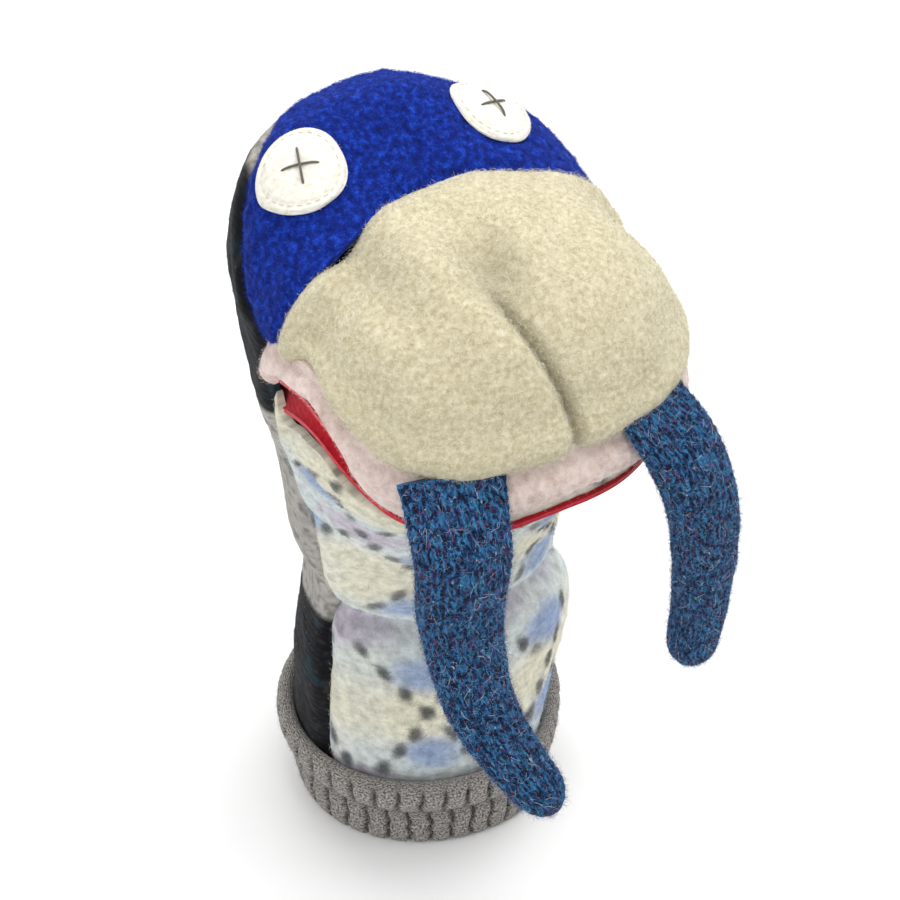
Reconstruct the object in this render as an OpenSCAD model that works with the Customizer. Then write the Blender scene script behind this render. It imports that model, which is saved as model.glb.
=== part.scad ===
// Walrus hand puppet sewn from felted wool knits, standing on its turned-up ribbed cuff.
// Millimetres. The origin is the middle of the cuff's bottom edge, +Z is up, and the puppet
// looks along -Y. "Forward" below is the distance along -Y.

/* [Wool] */
// Thickness of the felted knit panels
wool_t = 3; // [2:0.5:4]
// Gap between neighbouring layers
layer_gap = 0.3; // [0.2:0.1:0.6]
// Width of the turned-in seam allowances
seam_w = 7; // [5:1:9]

/* [Cuff] */
// Height of the turned-up cuff
cuff_h = 33; // [26:1:40]
// Thickness of the doubled rib knit
cuff_t = 5; // [4:0.5:7]
// How far the upper band bulges past the fold line
cuff_bulge = 1.5; // [0.5:0.5:2.5]

/* [Sleeve] */
// Width of the sleeve where it leaves the cuff
sleeve_w = 93; // [76:1:112]
// Depth of the sleeve where it leaves the cuff, front to back
sleeve_d = 81; // [66:1:98]
// How much narrower the sleeve is at the floor, each side
sleeve_tuck = 4; // [0:1:6]
// Width of the neck
neck_w = 81; // [70:1:96]
// Depth of the neck, front to back
neck_d = 67; // [58:1:80]
// Height of the neck crease
neck_z = 92; // [80:1:110]

/* [Head] */
// Width of the head
head_w = 112; // [94:1:134]
// How far the snout reaches forward of the sleeve's middle
snout_f = 76; // [64:1:90]
// How far the back of the head reaches behind the sleeve's middle
nape_b = 57; // [50:1:68]
// Height of the lower lip at the front
lip_z = 168; // [152:1:190]
// Height of the mouth corner above the lower lip
corner_rise = 3; // [1:0.5:8]
// Height of the gap between the lips
mouth_gap = 8; // [5:0.5:9]
// Height of the rolled upper lip
band_h = 15; // [12:1:22]
// Height of the crown above the front edge of the upper lip
crown_rise = 63; // [54:1:76]
// Height of the muzzle's top above the front edge of the upper lip
muzzle_rise = 46; // [40:1:56]
// Squareness of the snout seen from above (2 is round)
snout_round = 3.3; // [2.8:0.1:4]
// How far the eyes and tusks are sewn off the middle, toward the right side (-X)
face_off = 2.5; // [0:0.5:4]
// Depth of the padding inside the snout
pad_d = 24; // [18:1:26]

/* [Eyes] */
// Diameter of the felt eye disc
eye_d = 26.5; // [21:0.5:32]
// Thickness of the eye felt
eye_t = 2.4; // [1.5:0.1:3]
// Distance from the middle of the face to each eye's middle
eye_x = 31.5; // [26:0.5:35]
// How far behind the sleeve's middle the eyes sit
eye_b = 15; // [13:1:22]
// Length of each thread of the eye's cross
cross_l = 12; // [8:1:15]
// Thickness of the sewing thread
thread_t = 1.4; // [0.8:0.1:1.8]

/* [Tusks] */
// Distance from the middle of the face to each tusk's sewn edge
tusk_x = 32; // [26:0.5:37]
// Width of a tusk's sewn edge
tusk_w = 29; // [23:1:34]
// Width of a tusk's tip
tusk_tip_w = 14; // [11:1:17]
// Depth of a tusk at its fullest, front to back
tusk_d = 18; // [14:1:20]
// Drop of the left tusk from its sewn edge to its tip
tusk_drop_left = 101; // [82:1:116]
// Drop of the right tusk from its sewn edge to its tip
tusk_drop_right = 99; // [82:1:116]
// Thickness of the tusk's knit cover
tusk_t = 2.5; // [1.5:0.5:3.5]

/* [Hidden] */

around = 36;        // steps round half a panel
mid_f = 2;          // forward place of the head's widest line
crease_drop = 5;    // the neck crease is this much lower in front than behind
rim_drop = 18;      // the rim under the dome is this much lower in front than behind
rim_z = lip_z + mouth_gap + band_h;
crown_z = rim_z + crown_rise;
muzzle_z = rim_z + muzzle_rise;

// Rings of the skin, from the floor to the rim under the dome. Each ring is
// [half width, front, back, middle, roundness in front, roundness behind, height in front,
// height behind].
CUFF = 2;
SLEEVE_TOP = 4;
NECK = 5;
NAPE_TOP = 6;
CHIN = 7;
LIP = 8;
RIM = 9;
sw = sleeve_w / 2;
sd = sleeve_d / 2;
nw = neck_w / 2;
hw = head_w / 2;
neck_back = neck_d - (neck_d / 2 - 6);
neck_front = neck_d - neck_back;
RINGS = [
    [sw - sleeve_tuck, sd - sleeve_tuck, sd - sleeve_tuck, 0, 2, 2, 0, 0],
    [sw - sleeve_tuck * 0.6, sd - sleeve_tuck * 0.6, sd - sleeve_tuck * 0.6, 0, 2, 2,
     cuff_h * 0.5, cuff_h * 0.5],
    [sw, sd, sd, 0, 2, 2, cuff_h, cuff_h],
    [sw - 1, sd - 4, sd, -1, 2, 2, (cuff_h + neck_z) / 2 - 4, (cuff_h + neck_z) / 2 - 4],
    [nw + 1, neck_front + 2.5, neck_back, -3, 2, 2, neck_z - 12, neck_z - 10],
    [nw, neck_front, neck_back, -4, 2, 2, neck_z, neck_z + crease_drop],
    [nw + 4, neck_front + 8, neck_back + 2, -4, 2.2, 2, neck_z + 26, neck_z + 30],
    [hw - 6.5, snout_f - 24, neck_back + 4, -2, 2.7, 2.05, lip_z - 18, lip_z - 13],
    [hw - 2.5, snout_f - 2, neck_back + 8, 0, snout_round - 0.2, 2.2, lip_z, lip_z + corner_rise],
    [hw, snout_f, nape_b, mid_f, snout_round, 2.5, rim_z, rim_z + rim_drop]
];

function clamp(t) = max(0, min(1, t));
function ease(t) = let (c = clamp(t)) c * c * (3 - 2 * c);
function mix(a, b, t) = a + (b - a) * t;
function to_xyz(x, f, z) = [x, -f, z];

// A smooth curve through the values v, one at each whole number
function slope(v, i) = let (n = len(v) - 1)
    i == 0 ? v[1] - v[0] : i == n ? v[n] - v[n - 1] : (v[i + 1] - v[i - 1]) / 2;
function along(v, s) = let (i = min(floor(max(s, 0)), len(v) - 2), t = s - i)
    (2 * t^3 - 3 * t^2 + 1) * v[i] + (t^3 - 2 * t^2 + t) * slope(v, i)
    + (3 * t^2 - 2 * t^3) * v[i + 1] + (t^3 - t^2) * slope(v, i + 1);

// Distance from a ring's middle to its outline in the direction a, where 0 is forward and
// 90 is the puppet's own left (+X)
function reach(a, w, front, back, round_f, round_b) =
    let (k = ease(cos(a) * 0.75 + 0.5), n = mix(round_b, round_f, k),
         d = cos(a) > 0 ? front : back)
    pow(pow(abs(sin(a)) / w, n) + pow(abs(cos(a)) / d, n), -1 / n);

// A point of the skin below the rim, at ring s, set in by depth
function skin(a, s, depth) =
    let (r = along(RINGS, s),
         d = reach(a, r[0] - depth, r[1] - r[3] - depth, r[2] + r[3] - depth, r[4], r[5]),
         f = r[3] + d * cos(a))
    to_xyz(d * sin(a), f, mix(r[7], r[6], (f + r[2]) / (r[1] + r[2])));

// The head's dome above the rim
function dome_reach(a, depth) =
    reach(a, hw - depth, snout_f - mid_f - depth, nape_b + mid_f - depth, snout_round,
          2.5);
function dome_z(x, f, depth) =
    let (g = f - mid_f, h = norm([x, g]), a = h > 0 ? atan2(x, g) : 0,
         r = clamp(h / dome_reach(a, depth)), k = ease(cos(a) * 0.75 + 0.5),
         low = mix(rim_z + rim_drop, rim_z, (f + nape_b) / (snout_f + nape_b)),
         high = mix(muzzle_z, crown_z, ease((8 - f) / 38)) - depth)
    low + (high - low) * sqrt(1 - pow(r, mix(4.4, 3.6, k)));
// The point below (x, f) of the dome's outer face, set in by depth
function on_dome(x, f, depth) =
    let (g = f - mid_f, length = g > 0 ? snout_f - mid_f : nape_b + mid_f,
         x1 = x * (hw - depth) / hw, f1 = mid_f + g * (length - depth) / length)
    to_xyz(x1, f1, dome_z(x1, f1, depth));
function dome(a, r, depth) = let (d = r * dome_reach(a, 0))
    on_dome(d * sin(a), mid_f + d * cos(a), depth);

// The brow seam crosses the head from side to side, and the crown seam arches behind it
function brow_f(x) = 3 + 4 * pow(x / hw, 2);
function crown_r(a) = mix(0.985, 0.87, ease(-cos(a) * 1.15));
function brow_x(a) = (hw - 2.2) * sin(a);
// The jaw hangs below this ring, which rises to the mouth corners at the sides
function chin_s(a) = mix(CHIN, LIP - 0.12, ease((abs(a) - 72) / 18));

// A closed panel between two surfaces, each a function of u along it and v up it
module panel(n, m, outer, inner) {
    function id(i, j, k) = (k * (n + 1) + i) * (m + 1) + j;
    function quad(a, b, c, d) = [[a, b, c], [a, c, d]];
    points = concat([for (i = [0:n], j = [0:m]) outer(i / n, j / m)],
                    [for (i = [0:n], j = [0:m]) inner(i / n, j / m)]);
    skins = [for (i = [0:n - 1], j = [0:m - 1]) each concat(
        quad(id(i, j, 0), id(i, j + 1, 0), id(i + 1, j + 1, 0), id(i + 1, j, 0)),
        quad(id(i, j, 1), id(i + 1, j, 1), id(i + 1, j + 1, 1), id(i, j + 1, 1)))];
    ends = [for (i = [0:n - 1]) each concat(
        quad(id(i, 0, 0), id(i + 1, 0, 0), id(i + 1, 0, 1), id(i, 0, 1)),
        quad(id(i + 1, m, 0), id(i, m, 0), id(i, m, 1), id(i + 1, m, 1)))];
    sides = [for (j = [0:m - 1]) each concat(
        quad(id(0, j + 1, 0), id(0, j, 0), id(0, j, 1), id(0, j + 1, 1)),
        quad(id(n, j, 0), id(n, j + 1, 0), id(n, j + 1, 1), id(n, j, 1)))];
    polyhedron(points, concat(skins, ends, sides));
}

// A panel of the skin below the rim, from angle a0 to a1 and from ring s0(a) to s1(a)
module skin_panel(m, a0, a1, s0, s1, depth = 0, thick = wool_t) {
    panel(around, m,
          function (u, v) let (a = mix(a0, a1, u)) skin(a, mix(s0(a), s1(a), v), depth),
          function (u, v) let (a = mix(a0, a1, u)) skin(a, mix(s0(a), s1(a), v), depth + thick));
}

// A flat felt sheet across the front half of the skin, from ring s down to ring low
module sheet(s, low, depth) {
    function edge(at) = [for (i = [0:around]) skin(mix(-90, 90, i / around), at, depth)];
    n = around + 1;
    points = concat(edge(s), edge(low));
    polyhedron(points, concat(
        [[for (i = [n - 1:-1:0]) i]], [[for (i = [0:n - 1]) n + i]],
        [for (i = [0:n - 1]) let (j = (i + 1) % n) [i, j, n + j, n + i]]));
}

// Outline of the sleeve at ring s, let out by grow
function outline(s, grow) = [for (i = [0:2 * around - 1])
    let (p = skin(i * 180 / around, s, -grow)) [p[0], p[1]]];

module cuff() {
    layers = 6;
    color("dimgray") for (i = [0:layers - 1]) {
        low = CUFF * i / layers;
        high = CUFF * (i + 1) / layers;
        swell = cuff_bulge * (abs(sin(180 * (i + 0.5) / (layers / 2))) + (i < layers / 2 ? 0 : 1));
        translate([0, 0, cuff_h * i / layers]) linear_extrude(cuff_h / layers) difference() {
            polygon(outline(high, layer_gap + cuff_t + swell - cuff_bulge));
            polygon(outline(high, layer_gap));
        }
    }
}

hem_s = 0.2;        // the sleeve's panels end a little above the floor
module sleeve_front() {
    color("lightcyan") skin_panel(12, -90, 90, function (a) hem_s, function (a) SLEEVE_TOP);
}
module sleeve_back() {
    color("darkslategray") skin_panel(12, 90, 270, function (a) hem_s, function (a) SLEEVE_TOP);
}
module side_seam(side) {
    half = seam_w / 2 * 180 / (PI * sw);
    color("lightgray") panel(4, 10,
        function (u, v) skin(side * 90 + mix(-half, half, u), mix(0.4, SLEEVE_TOP - 0.3, v),
                             wool_t + layer_gap),
        function (u, v) skin(side * 90 + mix(-half, half, u), mix(0.4, SLEEVE_TOP - 0.3, v),
                             wool_t * 2));
}
module throat() {
    color("lavender") skin_panel(9, -90, 90, function (a) SLEEVE_TOP, function (a) chin_s(a));
}
module nape() {
    color("gray") skin_panel(6, 90, 270, function (a) SLEEVE_TOP, function (a) NAPE_TOP);
}

module head_back() {
    // the share of v that the part below the rim takes
    low = 0.65;
    function at(u, v, depth) = let (a = mix(90, 270, u))
        v <= low ? skin(a, mix(NAPE_TOP, RIM, v / low), depth)
                 : dome(a, mix(1, crown_r(a), (v - low) / (1 - low)), depth);
    color("darkgray") panel(around, 16, function (u, v) at(u, v, 0),
                            function (u, v) at(u, v, wool_t));
}
module forehead() {
    function at(u, v, depth) = let (a = mix(90, 270, u), b = dome(a, crown_r(a), 0),
                                    x = mix(b[0], brow_x(a), v),
                                    f = mix(-b[1], brow_f(brow_x(a)), v))
        on_dome(x, f, depth);
    color("royalblue") panel(around, 10, function (u, v) at(u, v, 0),
                             function (u, v) at(u, v, wool_t));
}
module muzzle() {
    function at(u, v, depth) = let (a = mix(-90, 90, u), e = dome(a, 1, 0),
                                    x0 = brow_x(a), w = 1 - cos(v * 90))
        on_dome(mix(e[0], x0, w), mix(-e[1], brow_f(x0), w), depth);
    color("beige") panel(around, 16, function (u, v) at(u, v, 0),
                         function (u, v) at(u, v, wool_t));
}
module muzzle_padding() {
    flat_f = snout_f - pad_d;
    depth = wool_t + layer_gap * 2;
    function at(u, v, back) = let (a = mix(-38, 38, u),
                                   r = mix(0.97, (flat_f + 3 - mid_f) / (dome_reach(a, 0) * cos(a)), v),
                                   p = dome(a, r, depth))
        [p[0], back ? -flat_f : p[1], p[2]];
    color("ivory") panel(around / 2, 6, function (u, v) at(u, v, false),
                         function (u, v) at(u, v, true));
}
module crown_seam() {
    half = seam_w / 2 / nape_b;
    function at(u, v, depth) = let (a = mix(98, 262, u)) dome(a, crown_r(a) + mix(half, -half, v) * 0.5,
                                                          depth);
    color("slategray") panel(around, 2, function (u, v) at(u, v, wool_t + layer_gap),
                             function (u, v) at(u, v, wool_t * 2));
}
module brow_seam() {
    reach_x = hw - 14;
    function at(u, v, depth) = let (x = mix(-reach_x, reach_x, u))
        on_dome(x, brow_f(x) + mix(seam_w / 2, -seam_w / 2, v), depth);
    color("tan") panel(around / 2, 2, function (u, v) at(u, v, wool_t + layer_gap),
                       function (u, v) at(u, v, wool_t * 2));
}

band_s = LIP + mouth_gap / (mouth_gap + band_h);
module lip_band() {
    color("mistyrose") skin_panel(5, -90, 90, function (a) band_s, function (a) RIM);
}
module mouth_lining_upper() {
    color("crimson") sheet(band_s + 0.12, band_s + 0.05, wool_t + layer_gap);
}
module chin() {
    color("azure") skin_panel(6, -88, 88, function (a) chin_s(a) + 0.05, function (a) LIP);
}
module mouth_lining_lower() {
    color("crimson") sheet(LIP - 0.02, LIP - 0.13, wool_t + layer_gap);
}

// The middle of an eye on the dome, and its directions along the felt and out of it
function eye_mid(side) = on_dome(side * eye_x - face_off, -eye_b, 0);
function eye_dir(side, d) = let (e = 2, p = eye_mid(side),
    q = on_dome(side * eye_x - face_off + e * d[0], -eye_b + e * d[1], 0)) (q - p) / norm(q - p);
function eye_across(side) = eye_dir(side, [1, 0]);
function eye_up(side) = let (a = eye_across(side), b = eye_dir(side, [0, -1]),
                             n = cross(a, b)) cross(n / norm(n), a);
function eye_out(side) = cross(eye_across(side), eye_up(side));

// A point of the eye felt, x across and y up from its middle, lift above the head
function eye_point(side, x, y, lift) =
    let (p = eye_mid(side) + x * eye_across(side) + y * eye_up(side))
    on_dome(p[0], -p[1], 0) + lift * eye_out(side);
// A unit square folded onto a disc of radius r
function to_disc(u, v, r) = let (x = 2 * u - 1, y = 2 * v - 1)
    r * [x * sqrt(1 - y * y / 2), y * sqrt(1 - x * x / 2)];
eye_top = layer_gap + eye_t;

module eye(side) {
    function at(u, v, lift) = let (d = to_disc(u, v, eye_d / 2)) eye_point(side, d[0], d[1], lift);
    color("ivory") panel(14, 14, function (u, v) at(u, v, eye_top),
                         function (u, v) at(u, v, layer_gap));
}
module on_eye(side, x, y, lift) {
    a = eye_across(side);
    b = eye_up(side);
    n = eye_out(side);
    p = eye_point(side, x, y, lift);
    multmatrix([[a[0], b[0], n[0], p[0]], [a[1], b[1], n[1], p[1]], [a[2], b[2], n[2], p[2]],
                [0, 0, 0, 1]]) children();
}
module thread(length, thick) {
    rotate([0, 90, 0]) cylinder(h = length, d = thick, center = true, $fn = 24);
}
module eye_cross(side) {
    color("darkslategray") on_eye(side, 0, 0, eye_top + thread_t / 2 + layer_gap)
        for (turn = [15, 105]) rotate([0, 0, turn]) thread(cross_l, thread_t);
}
module eye_stitching(side) {
    stitches = 22;
    inset = 2.2;
    stitch_t = 0.5;
    run = eye_d / 2 - inset;
    color("linen") for (i = [0:stitches - 1]) {
        a = i * 360 / stitches;
        on_eye(side, run * cos(a), run * sin(a), eye_top + stitch_t / 2 + layer_gap)
            rotate([0, 0, a + 90]) thread(inset, stitch_t);
    }
}

// Route of a tusk from its sewn edge to its tip: places across and forward at equal steps,
// which the drop stretches downward. The left one curves forward and the right one outward.
tusk_gap = 0.8;     // from the snout to the back of the sewn edge
tusk_edge_d = 3;    // half the depth of the sewn edge
tusk_f = snout_f + tusk_gap + tusk_edge_d;
tusk_z = rim_z + 3;
ACROSS = [[0, -1, 0, 2.7, 6.5], [0, 8, 12.5, 13.5, 12]];
FORWARD = [[0, 5.5, 5, 14, 30], [0, 6.5, 6.5, 4.5, 2.5]];
DOWN = [0, 0.21, 0.44, 0.72, 1];
function tusk_at(side, s) = let (k = side < 0 ? 0 : 1,
                                 drop = side < 0 ? tusk_drop_left : tusk_drop_right)
    to_xyz(side * tusk_x - face_off + along(ACROSS[k], 4 * s), tusk_f + along(FORWARD[k], 4 * s),
           tusk_z - drop * along(DOWN, 4 * s));
function unit(v) = v / norm(v);
module tusk_tube(side, depth, s0, s1) {
    rings = 18;
    sides = 18;
    tip = 0.07;
    points = [for (i = [0:rings], j = [0:sides - 1])
        let (t = i / rings, s = mix(s0, s1, t < 0.8 ? t * 1.05 : mix(0.84, 0.9995, (t - 0.8) / 0.2)),
             way = unit(tusk_at(side, s + 0.01) - tusk_at(side, s - 0.01)),
             across = unit([1, 0, 0] - way[0] * way), deep = cross(way, across),
             cap = s > s1 - tip ? sqrt(1 - pow((s - s1 + tip) / tip, 2)) : 1,
             w = mix(tusk_w / 2, tusk_tip_w / 2, pow(clamp(s), 1.6)),
             d = mix(tusk_edge_d, tusk_d / 2, ease(s / 0.24)) * mix(1, 0.7, ease((s - 0.4) / 0.6)),
             a = j * 360 / sides)
        tusk_at(side, s) + cap * ((w - depth) * cos(a) * across + (d - depth) * sin(a) * deep)];
    polyhedron(points, concat(
        [[for (j = [0:sides - 1]) j]],
        [[for (j = [sides - 1:-1:0]) rings * sides + j]],
        [for (i = [0:rings - 1], j = [0:sides - 1]) let (k = (j + 1) % sides, p = i * sides)
            each [[p + j, p + sides + j, p + sides + k], [p + j, p + sides + k, p + k]]]));
}
module tusk_cover(side) {
    end = 1 - tusk_t / tusk_drop_left;
    color("steelblue") difference() {
        tusk_tube(side, 0, 0, 1);
        tusk_tube(side, tusk_t, -0.02, end);
    }
}
module tusk_stuffing(side) {
    end = 1 - (tusk_t + layer_gap) / tusk_drop_left;
    color("white") tusk_tube(side, tusk_t + layer_gap, 0.12, end);
}

cuff();
sleeve_front();
sleeve_back();
side_seam(-1);  // side_seam_left
side_seam(1);  // side_seam_right
throat();
nape();
head_back();
forehead();
muzzle();
muzzle_padding();
crown_seam();
brow_seam();
lip_band();
mouth_lining_upper();
eye(-1);  // eye_left
eye(1);  // eye_right
eye_cross(-1);  // eye_cross_left
eye_cross(1);  // eye_cross_right
eye_stitching(-1);  // eye_stitching_left
eye_stitching(1);  // eye_stitching_right
chin();
mouth_lining_lower();
tusk_cover(-1);  // tusk_cover_left
tusk_stuffing(-1);  // tusk_stuffing_left
tusk_cover(1);  // tusk_cover_right
tusk_stuffing(1);  // tusk_stuffing_right
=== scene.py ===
# %% [markdown]
# # A walrus hand puppet, sewn from felted wool
# The real toy is cut flat from old knitted woollens that were washed until they felted, then sewn
# together, stuffed at the snout and tusks, and stood on its turned-up ribbed cuff. A plain, exact
# model of it is loaded first. It moves and has the true sizes, and it is never changed here.
# Each of its soft solids is then replaced by a piece with the look of the real cloth.

# %% Load the fixed model
import itertools
import math

import bpy
import numpy as np
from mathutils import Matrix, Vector


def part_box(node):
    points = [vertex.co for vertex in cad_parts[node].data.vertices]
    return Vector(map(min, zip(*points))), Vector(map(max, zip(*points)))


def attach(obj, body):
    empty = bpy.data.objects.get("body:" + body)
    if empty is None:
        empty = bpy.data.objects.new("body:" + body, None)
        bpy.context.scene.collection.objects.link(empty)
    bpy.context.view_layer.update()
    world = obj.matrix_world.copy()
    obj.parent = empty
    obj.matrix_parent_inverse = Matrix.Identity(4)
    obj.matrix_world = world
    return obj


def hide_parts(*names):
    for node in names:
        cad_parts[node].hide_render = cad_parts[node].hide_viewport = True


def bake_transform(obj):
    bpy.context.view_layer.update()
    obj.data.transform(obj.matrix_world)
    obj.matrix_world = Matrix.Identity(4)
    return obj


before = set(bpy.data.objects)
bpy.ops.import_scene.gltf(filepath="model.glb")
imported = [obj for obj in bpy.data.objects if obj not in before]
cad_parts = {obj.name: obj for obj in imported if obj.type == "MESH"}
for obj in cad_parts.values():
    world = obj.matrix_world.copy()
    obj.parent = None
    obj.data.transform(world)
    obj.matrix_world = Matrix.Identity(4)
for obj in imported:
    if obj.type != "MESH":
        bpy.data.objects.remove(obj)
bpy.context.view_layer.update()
MM = 0.001

# %% [markdown]
# ## Camera, floor and light
# The puppet is looked down on from its own right, from an arm's length away, with a long lens
# that keeps the snout from looming. The floor and the sky are nearly white and the lamps are
# large, because wool shows its nap best in soft light with one side a little brighter.

# %% Camera
scene = bpy.context.scene
scene.view_settings.view_transform = "Standard"
aim = Vector((0, -0.0101, 0.1415))
azimuth, elevation, distance = math.radians(-30), math.radians(42), 0.9
away = Vector((
    math.sin(azimuth) * math.cos(elevation),
    -math.cos(azimuth) * math.cos(elevation),
    math.sin(elevation),
))
camera = bpy.data.objects.new("camera", bpy.data.cameras.new("camera"))
scene.collection.objects.link(camera)
camera.location = aim + away * distance
camera.rotation_euler = (-away).to_track_quat("-Z", "Y").to_euler()
camera.data.lens = 120
scene.camera = camera


# %% [markdown]
# ## Colours and nodes
# Felt is dyed, so its colours are given as hex values and turned to linear light once,
# here. A material could be drawn by hand in the node editor, but a few lines that add one node
# at a time can be read from top to bottom and changed in one place.

# %% Colours and nodes
def paint(code):
    """An sRGB hex colour as the linear colour that Blender's sockets take."""
    values = [int(code[i : i + 2], 16) / 255 for i in (1, 3, 5)]
    return tuple(v / 12.92 if v <= 0.04045 else ((v + 0.055) / 1.055) ** 2.4 for v in values) + (1,)


def add(tree, kind, inputs=None, **settings):
    """Adds one shader node, with its settings, its values and its links."""
    made = tree.nodes.new("ShaderNode" + kind)
    for name, value in settings.items():
        setattr(made, name, value)
    for key, value in (inputs or {}).items():
        if isinstance(value, bpy.types.NodeSocket):
            tree.links.new(value, made.inputs[key])
        else:
            made.inputs[key].default_value = value
    return made


def new_material(name):
    """An empty node material, with its tree."""
    material = bpy.data.materials.new(name)
    material.use_nodes = True
    material.node_tree.nodes.clear()
    return material, material.node_tree


# %% Floor
def painted_paper():
    """Matt white background paper: rough, with a faint unevenness."""
    material, tree = new_material("matt_white_paper")
    mottle = add(tree, "TexNoise", {"Scale": 3.0})
    tone = add(tree, "Mix", {0: mottle.outputs[0], 6: paint("#fbfbfb"), 7: paint("#ffffff")},
               data_type="RGBA")
    surface = add(tree, "BsdfPrincipled", {"Base Color": tone.outputs[2], "Roughness": 0.95})
    add(tree, "OutputMaterial", {"Surface": surface.outputs[0]})
    return material


floor_mesh = bpy.data.meshes.new("floor")
corners = [(x, y, 0) for x, y in ((-3, -3), (3, -3), (3, 3), (-3, 3))]
floor_mesh.from_pydata(corners, [], [(0, 1, 2, 3)])
floor_mesh.materials.append(painted_paper())
floor = bpy.data.objects.new("floor", floor_mesh)
scene.collection.objects.link(floor)

# %% Light
sky = bpy.data.worlds.new("pale_room")
sky.use_nodes = True
sky.node_tree.nodes["Background"].inputs["Color"].default_value = (1, 1, 1, 1)
sky.node_tree.nodes["Background"].inputs["Strength"].default_value = 0.64
scene.world = sky
LAMPS = {  # place, width, watts
    "key": ((0.35, -0.05, 1.3), 1.2, 14.5),
    "fill": ((-0.9, -0.3, 0.9), 0.9, 3.5),
    "back": ((0.1, 0.9, 0.9), 0.9, 3.0),
}
for name, (place, width, watts) in LAMPS.items():
    lamp = bpy.data.lights.new(name, "AREA")
    lamp.energy, lamp.size = watts, width
    holder = bpy.data.objects.new(name, lamp)
    holder.location = place
    holder.rotation_euler = (Vector(place) - aim).to_track_quat("Z", "Y").to_euler()
    scene.collection.objects.link(holder)
print("lamps:", ", ".join(LAMPS))

# %% [markdown]
# ## The shape under the cloth
# The skin of the puppet is one smooth surface, a stack of rounded rings from the floor to the rim
# of the head, with a dome above them. Every panel is a patch of it, so panels that are sewn
# together meet exactly. Lofting the rings by formula, and not by hand, keeps the pieces in the
# same place as the fixed model's, whose sizes are read from it here. Lengths are millimetres until
# a mesh is made. "Forward" is the way the puppet looks, and an angle of 90 is its own left.

# %% Sizes from the fixed model
def low_of(node):
    return np.array(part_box(node)[0]) / MM


def high_of(node):
    return np.array(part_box(node)[1]) / MM


half_head, nape_back = high_of("head_back")[:2]
snout = -low_of("lip_band")[1]
half_sleeve, sleeve_back = high_of("sleeve_back")[:2]
cuff_top = high_of("cuff")[2]
rim = low_of("muzzle")[2]
crown = high_of("forehead")[2]
crease = low_of("throat")[2] + 12
wool = 3.0
face_off = -2.5         # the eyes and tusks are sewn on a little off the middle
snout_round = 3.3       # squareness of the snout seen from above
print(f"head {2 * half_head:.0f} mm wide, its rim at {rim:.0f} and its crown at {crown:.0f} mm")
print(f"neck at {crease:.0f} mm")

# %% Rings of the skin
HEM, CUFF, NAPE_TOP, LIP, RIM = 0.2, 2, 6, 8, 9     # counted up from ring 0 on the floor
lip = rim - 23
band_foot = LIP + 8 / 23
muzzle_top = rim + 46
half_neck, neck_front, neck_back = 40.5, 27.5, 39.5
middle = (cuff_top + crease) / 2 - 4
RINGS = np.array([  # half width, front, back, middle, roundness in front and behind, heights
    [half_sleeve - 4, sleeve_back - 4, sleeve_back - 4, 0, 2, 2, 0, 0],
    [half_sleeve - 2.4, sleeve_back - 2.4, sleeve_back - 2.4, 0, 2, 2, cuff_top / 2, cuff_top / 2],
    [half_sleeve, sleeve_back, sleeve_back, 0, 2, 2, cuff_top, cuff_top],
    [half_sleeve - 1, sleeve_back - 4, sleeve_back, -1, 2, 2, middle, middle],
    [half_neck + 1, neck_front + 2.5, neck_back, -3, 2, 2, crease - 12, crease - 10],
    [half_neck, neck_front, neck_back, -4, 2, 2, crease, crease + 5],
    [half_neck + 4, neck_front + 8, neck_back + 2, -4, 2.2, 2, crease + 26, crease + 30],
    [half_head - 6.5, snout - 24, neck_back + 4, -2, 2.7, 2.05, lip - 18, lip - 13],
    [half_head - 2.5, snout - 2, neck_back + 8, 0, snout_round - 0.2, 2.2, lip, lip + 3],
    [half_head, snout, nape_back, 2, snout_round, 2.5, rim, rim + 18],
])


def ease(t):
    t = np.clip(t, 0, 1)
    return t * t * (3 - 2 * t)


def mix(a, b, t):
    return a + (b - a) * t


def hump(x, width):
    """A soft hump, 1 at x = 0 and almost gone two widths away."""
    return np.exp(-((x / width) ** 2))


def along(values, s):
    """A smooth curve through the values, one at each whole number."""
    slopes = np.gradient(values, axis=0)
    i = np.clip(np.floor(s).astype(int), 0, len(values) - 2)
    t = np.asarray(s - i)[..., None]
    start = (2 * t**3 - 3 * t**2 + 1) * values[i] + (t**3 - 2 * t**2 + t) * slopes[i]
    return start + (3 * t**2 - 2 * t**3) * values[i + 1] + (t**3 - t**2) * slopes[i + 1]


def reach(a, width, front, back, round_front, round_back):
    """Distance from a ring's middle to its outline, in the direction a."""
    across, ahead = np.sin(np.radians(a)), np.cos(np.radians(a))
    power = mix(round_back, round_front, ease(ahead * 0.75 + 0.5))
    depth = np.where(ahead > 0, front, back)
    return (np.abs(across / width) ** power + np.abs(ahead / depth) ** power) ** (-1 / power)


def at(x, forward, z):
    return np.stack(np.broadcast_arrays(x, -forward, z), axis=-1)


def cheek_lift(x, forward):
    """How far the rim is pushed up at the puppet's right cheek."""
    return 8 * ease((-x - 22) / 24) * hump(forward - 32, 19)


def skin(a, s, out=0.0):
    """A point of the skin at angle a and ring s, moved out by so many millimetres."""
    a, s = np.broadcast_arrays(a, s)
    width, front, back, shift, ahead_power, behind_power, z_front, z_back = np.moveaxis(
        along(RINGS, s), -1, 0)
    far = reach(a, width + out, front - shift + out, back + shift + out, ahead_power, behind_power)
    forward = shift + far * np.cos(np.radians(a))
    x = far * np.sin(np.radians(a))
    z = mix(z_back, z_front, (forward + back) / (front + back))
    x = x - 12 * ease(x / 46) * ease((66 - z) / 36)     # narrower at its foot, on its left
    return at(x, forward, z + cheek_lift(x, forward) * ease(s - LIP))


# %% The dome of the head
head_middle = 2.0


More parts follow.
